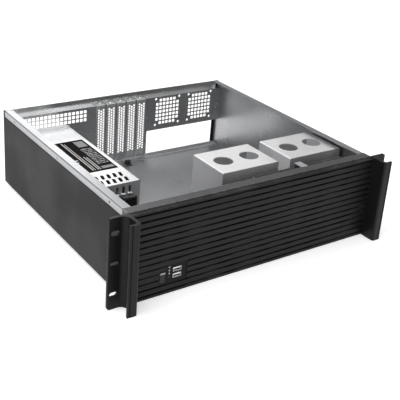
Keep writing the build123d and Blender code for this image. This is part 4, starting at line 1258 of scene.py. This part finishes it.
@dataclass
class PowerSupply:
    """The power supply with its inlet, switch, fan and inner parts."""

    # Supply zinc lightened to 0.84: painted light standing in for the overhead light on the supply's top.
    box: Finish = ZincSheet(base=(0.84, 0.845, 0.85), roughness=0.38, metallic=0.88)
    plastic: Finish = Moulding()
    rocker: Finish = Moulding(base=(0.02, 0.02, 0.022), roughness=0.25)
    film: Finish = RatingFilm()
    metal: Finish = Plating()
    board: Finish = SolderMask()
    sink: Finish = ZincSheet(base=(0.7, 0.7, 0.71), roughness=0.4)
    winding: Finish = Winding()

    def dress(self) -> None:
        """Finishes the supply's nodes and its screws."""
        finishes = {
            "psu_base": self.box, "psu_cover": self.box, "psu_bracket": self.box, "psu_label": self.film,
            "psu_socket_block": self.plastic, "psu_fan_frame": self.plastic, "psu_inlet": self.plastic,
            "psu_inlet_pins": self.metal, "psu_switch_frame": self.plastic, "psu_rocker": self.rocker,
            "psu_board": self.board, "psu_heatsinks": self.sink, "psu_transformer": self.winding,
            "psu_capacitors": self.plastic,
        }
        for node, finish in finishes.items():
            dress(node, finish)
        Impeller("psu_fan_rotor", "psu_fan", self.plastic).build()
        WireGuard(self.metal).build()
        for node in ("psu_screws", "psu_fan_screws"):
            PanScrews(node, Out.BACK).build()


# Studio

@dataclass(frozen=True)
class SoftBox:
    """A square soft light that faces the case."""

    name: str
    place: tuple[float, float, float]
    size: float
    power: float
    aim: tuple[float, float, float] = (0.0, 0.2, 0.0)

    def build(self) -> None:
        """Adds the light."""
        data = bpy.data.lights.new(self.name, "AREA")
        data.size = self.size
        data.energy = self.power
        light = linked(self.name, data)
        light.location = self.place
        way = Vector(self.aim) - Vector(self.place)
        light.rotation_euler = way.to_track_quat("-Z", "Y").to_euler()


@dataclass
class Studio:
    """Pale floor, soft lights and the camera of the photograph."""

    lights: tuple[SoftBox, ...] = (
        SoftBox("key_light", (-1.3, 0.1, 2.4), 1.6, 34.0),
        SoftBox("fill_light", (-0.95, -0.95, 0.5), 0.6, 4.5),
        SoftBox("back_light", (0.5, 2.9, 1.45), 1.5, 17.0),
        SoftBox("top_light", (1.2, 1.7, 2.5), 1.2, 8.0),
        SoftBox("front_light", (0.65, -2.2, 1.0), 1.1, 14.0),
    )
    camera_place: tuple[float, float, float] = (-0.66709, -0.76624, 0.5258)
    camera_forward: tuple[float, float, float] = (0.542703, 0.746435, -0.385108)
    camera_up: tuple[float, float, float] = (0.164209, 0.355364, 0.920191)
    lens: float = 72.07
    shift_y: float = -0.12
    floor_size: float = 60.0
    floor_colour: Colour = (0.88, 0.88, 0.88)
    floor_cloud: Colour = (0.9, 0.9, 0.9)
    floor_cloud_scale: float = 3.0
    floor_roughness: float = 0.8
    floor_glow: float = 0.45
    world_strength: float = 0.52
    horizon: Colour = (0.40, 0.40, 0.41)
    overhead: Colour = (1.0, 1.0, 1.0)
    sky_span: Span = (-0.1, 0.9)
    backdrop: Colour = (0.94, 0.94, 0.94)

    def build(self) -> None:
        """Makes the floor, the world, the lights and the camera."""
        self.floor()
        self.world()
        for light in self.lights:
            light.build()
        self.camera()

    def floor(self) -> None:
        """Flat floor under the ears' lower ends."""
        low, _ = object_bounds()
        half = self.floor_size / 2
        corners = np.array([[-half, -half], [half, -half], [half, half], [-half, half]])
        points = np.column_stack([corners, np.full(4, low.z)])
        mesh = bpy.data.meshes.new("floor")
        mesh.from_pydata(points, [], [[0, 1, 2, 3]])
        floor = linked("floor", mesh)
        made = bpy.data.materials.new("floor_paper")
        graph = empty_graph(made)
        tone = graph.noise(graph.place(), self.floor_cloud_scale)
        colour = graph.mix(tone, opaque(self.floor_colour), opaque(self.floor_cloud))
        surface = graph.add("ShaderNodeBsdfPrincipled", {
            "Base Color": colour, "Roughness": self.floor_roughness,
            "Emission Color": colour, "Emission Strength": self.floor_glow})
        graph.add("ShaderNodeOutputMaterial", {0: surface.outputs[0]})
        mesh.materials.append(made)
        floor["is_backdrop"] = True

    def world(self) -> None:
        """Even pale surroundings: brighter overhead as a light, plain where they are seen."""
        world = bpy.data.worlds.new("studio")
        bpy.context.scene.world = world
        graph = empty_graph(world)
        way = graph.add("ShaderNodeTexCoord").outputs["Generated"]
        up = graph.rise(graph.parts(way)[2], *self.sky_span)
        sky = graph.mix(up, opaque(self.horizon), opaque(self.overhead))
        seen = graph.add("ShaderNodeLightPath").outputs["Is Camera Ray"]
        light = graph.add("ShaderNodeBackground", {
            "Color": graph.mix(seen, sky, opaque(self.backdrop)),
            "Strength": graph.rise(seen, 0.0, 1.0, self.world_strength, 1.0)})
        graph.add("ShaderNodeOutputWorld", {0: light.outputs[0]})

    def camera(self) -> None:
        """Camera at the photograph's angle."""
        data = bpy.data.cameras.new("camera")
        data.lens = self.lens
        data.shift_y = self.shift_y
        camera = linked("camera", data)
        forward, up = Vector(self.camera_forward).normalized(), Vector(self.camera_up).normalized()
        right = forward.cross(up)
        turn = Matrix((right, up, -forward)).transposed().to_4x4()
        camera.matrix_world = Matrix.Translation(self.camera_place) @ turn
        bpy.context.scene.camera = camera


def main() -> None:
    """Dresses each sub-assembly in turn and sets up the studio."""
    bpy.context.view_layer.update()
    for kind in (CaseBody, FrontFace, ControlInset, RearWall, DriveCages, FrontFans, PowerSupply):
        log.info("%s", kind.__name__)
        kind().dress()
    Studio().build()
    bpy.context.scene.view_settings.view_transform = "Standard"


if __name__ == "__main__":
    main()
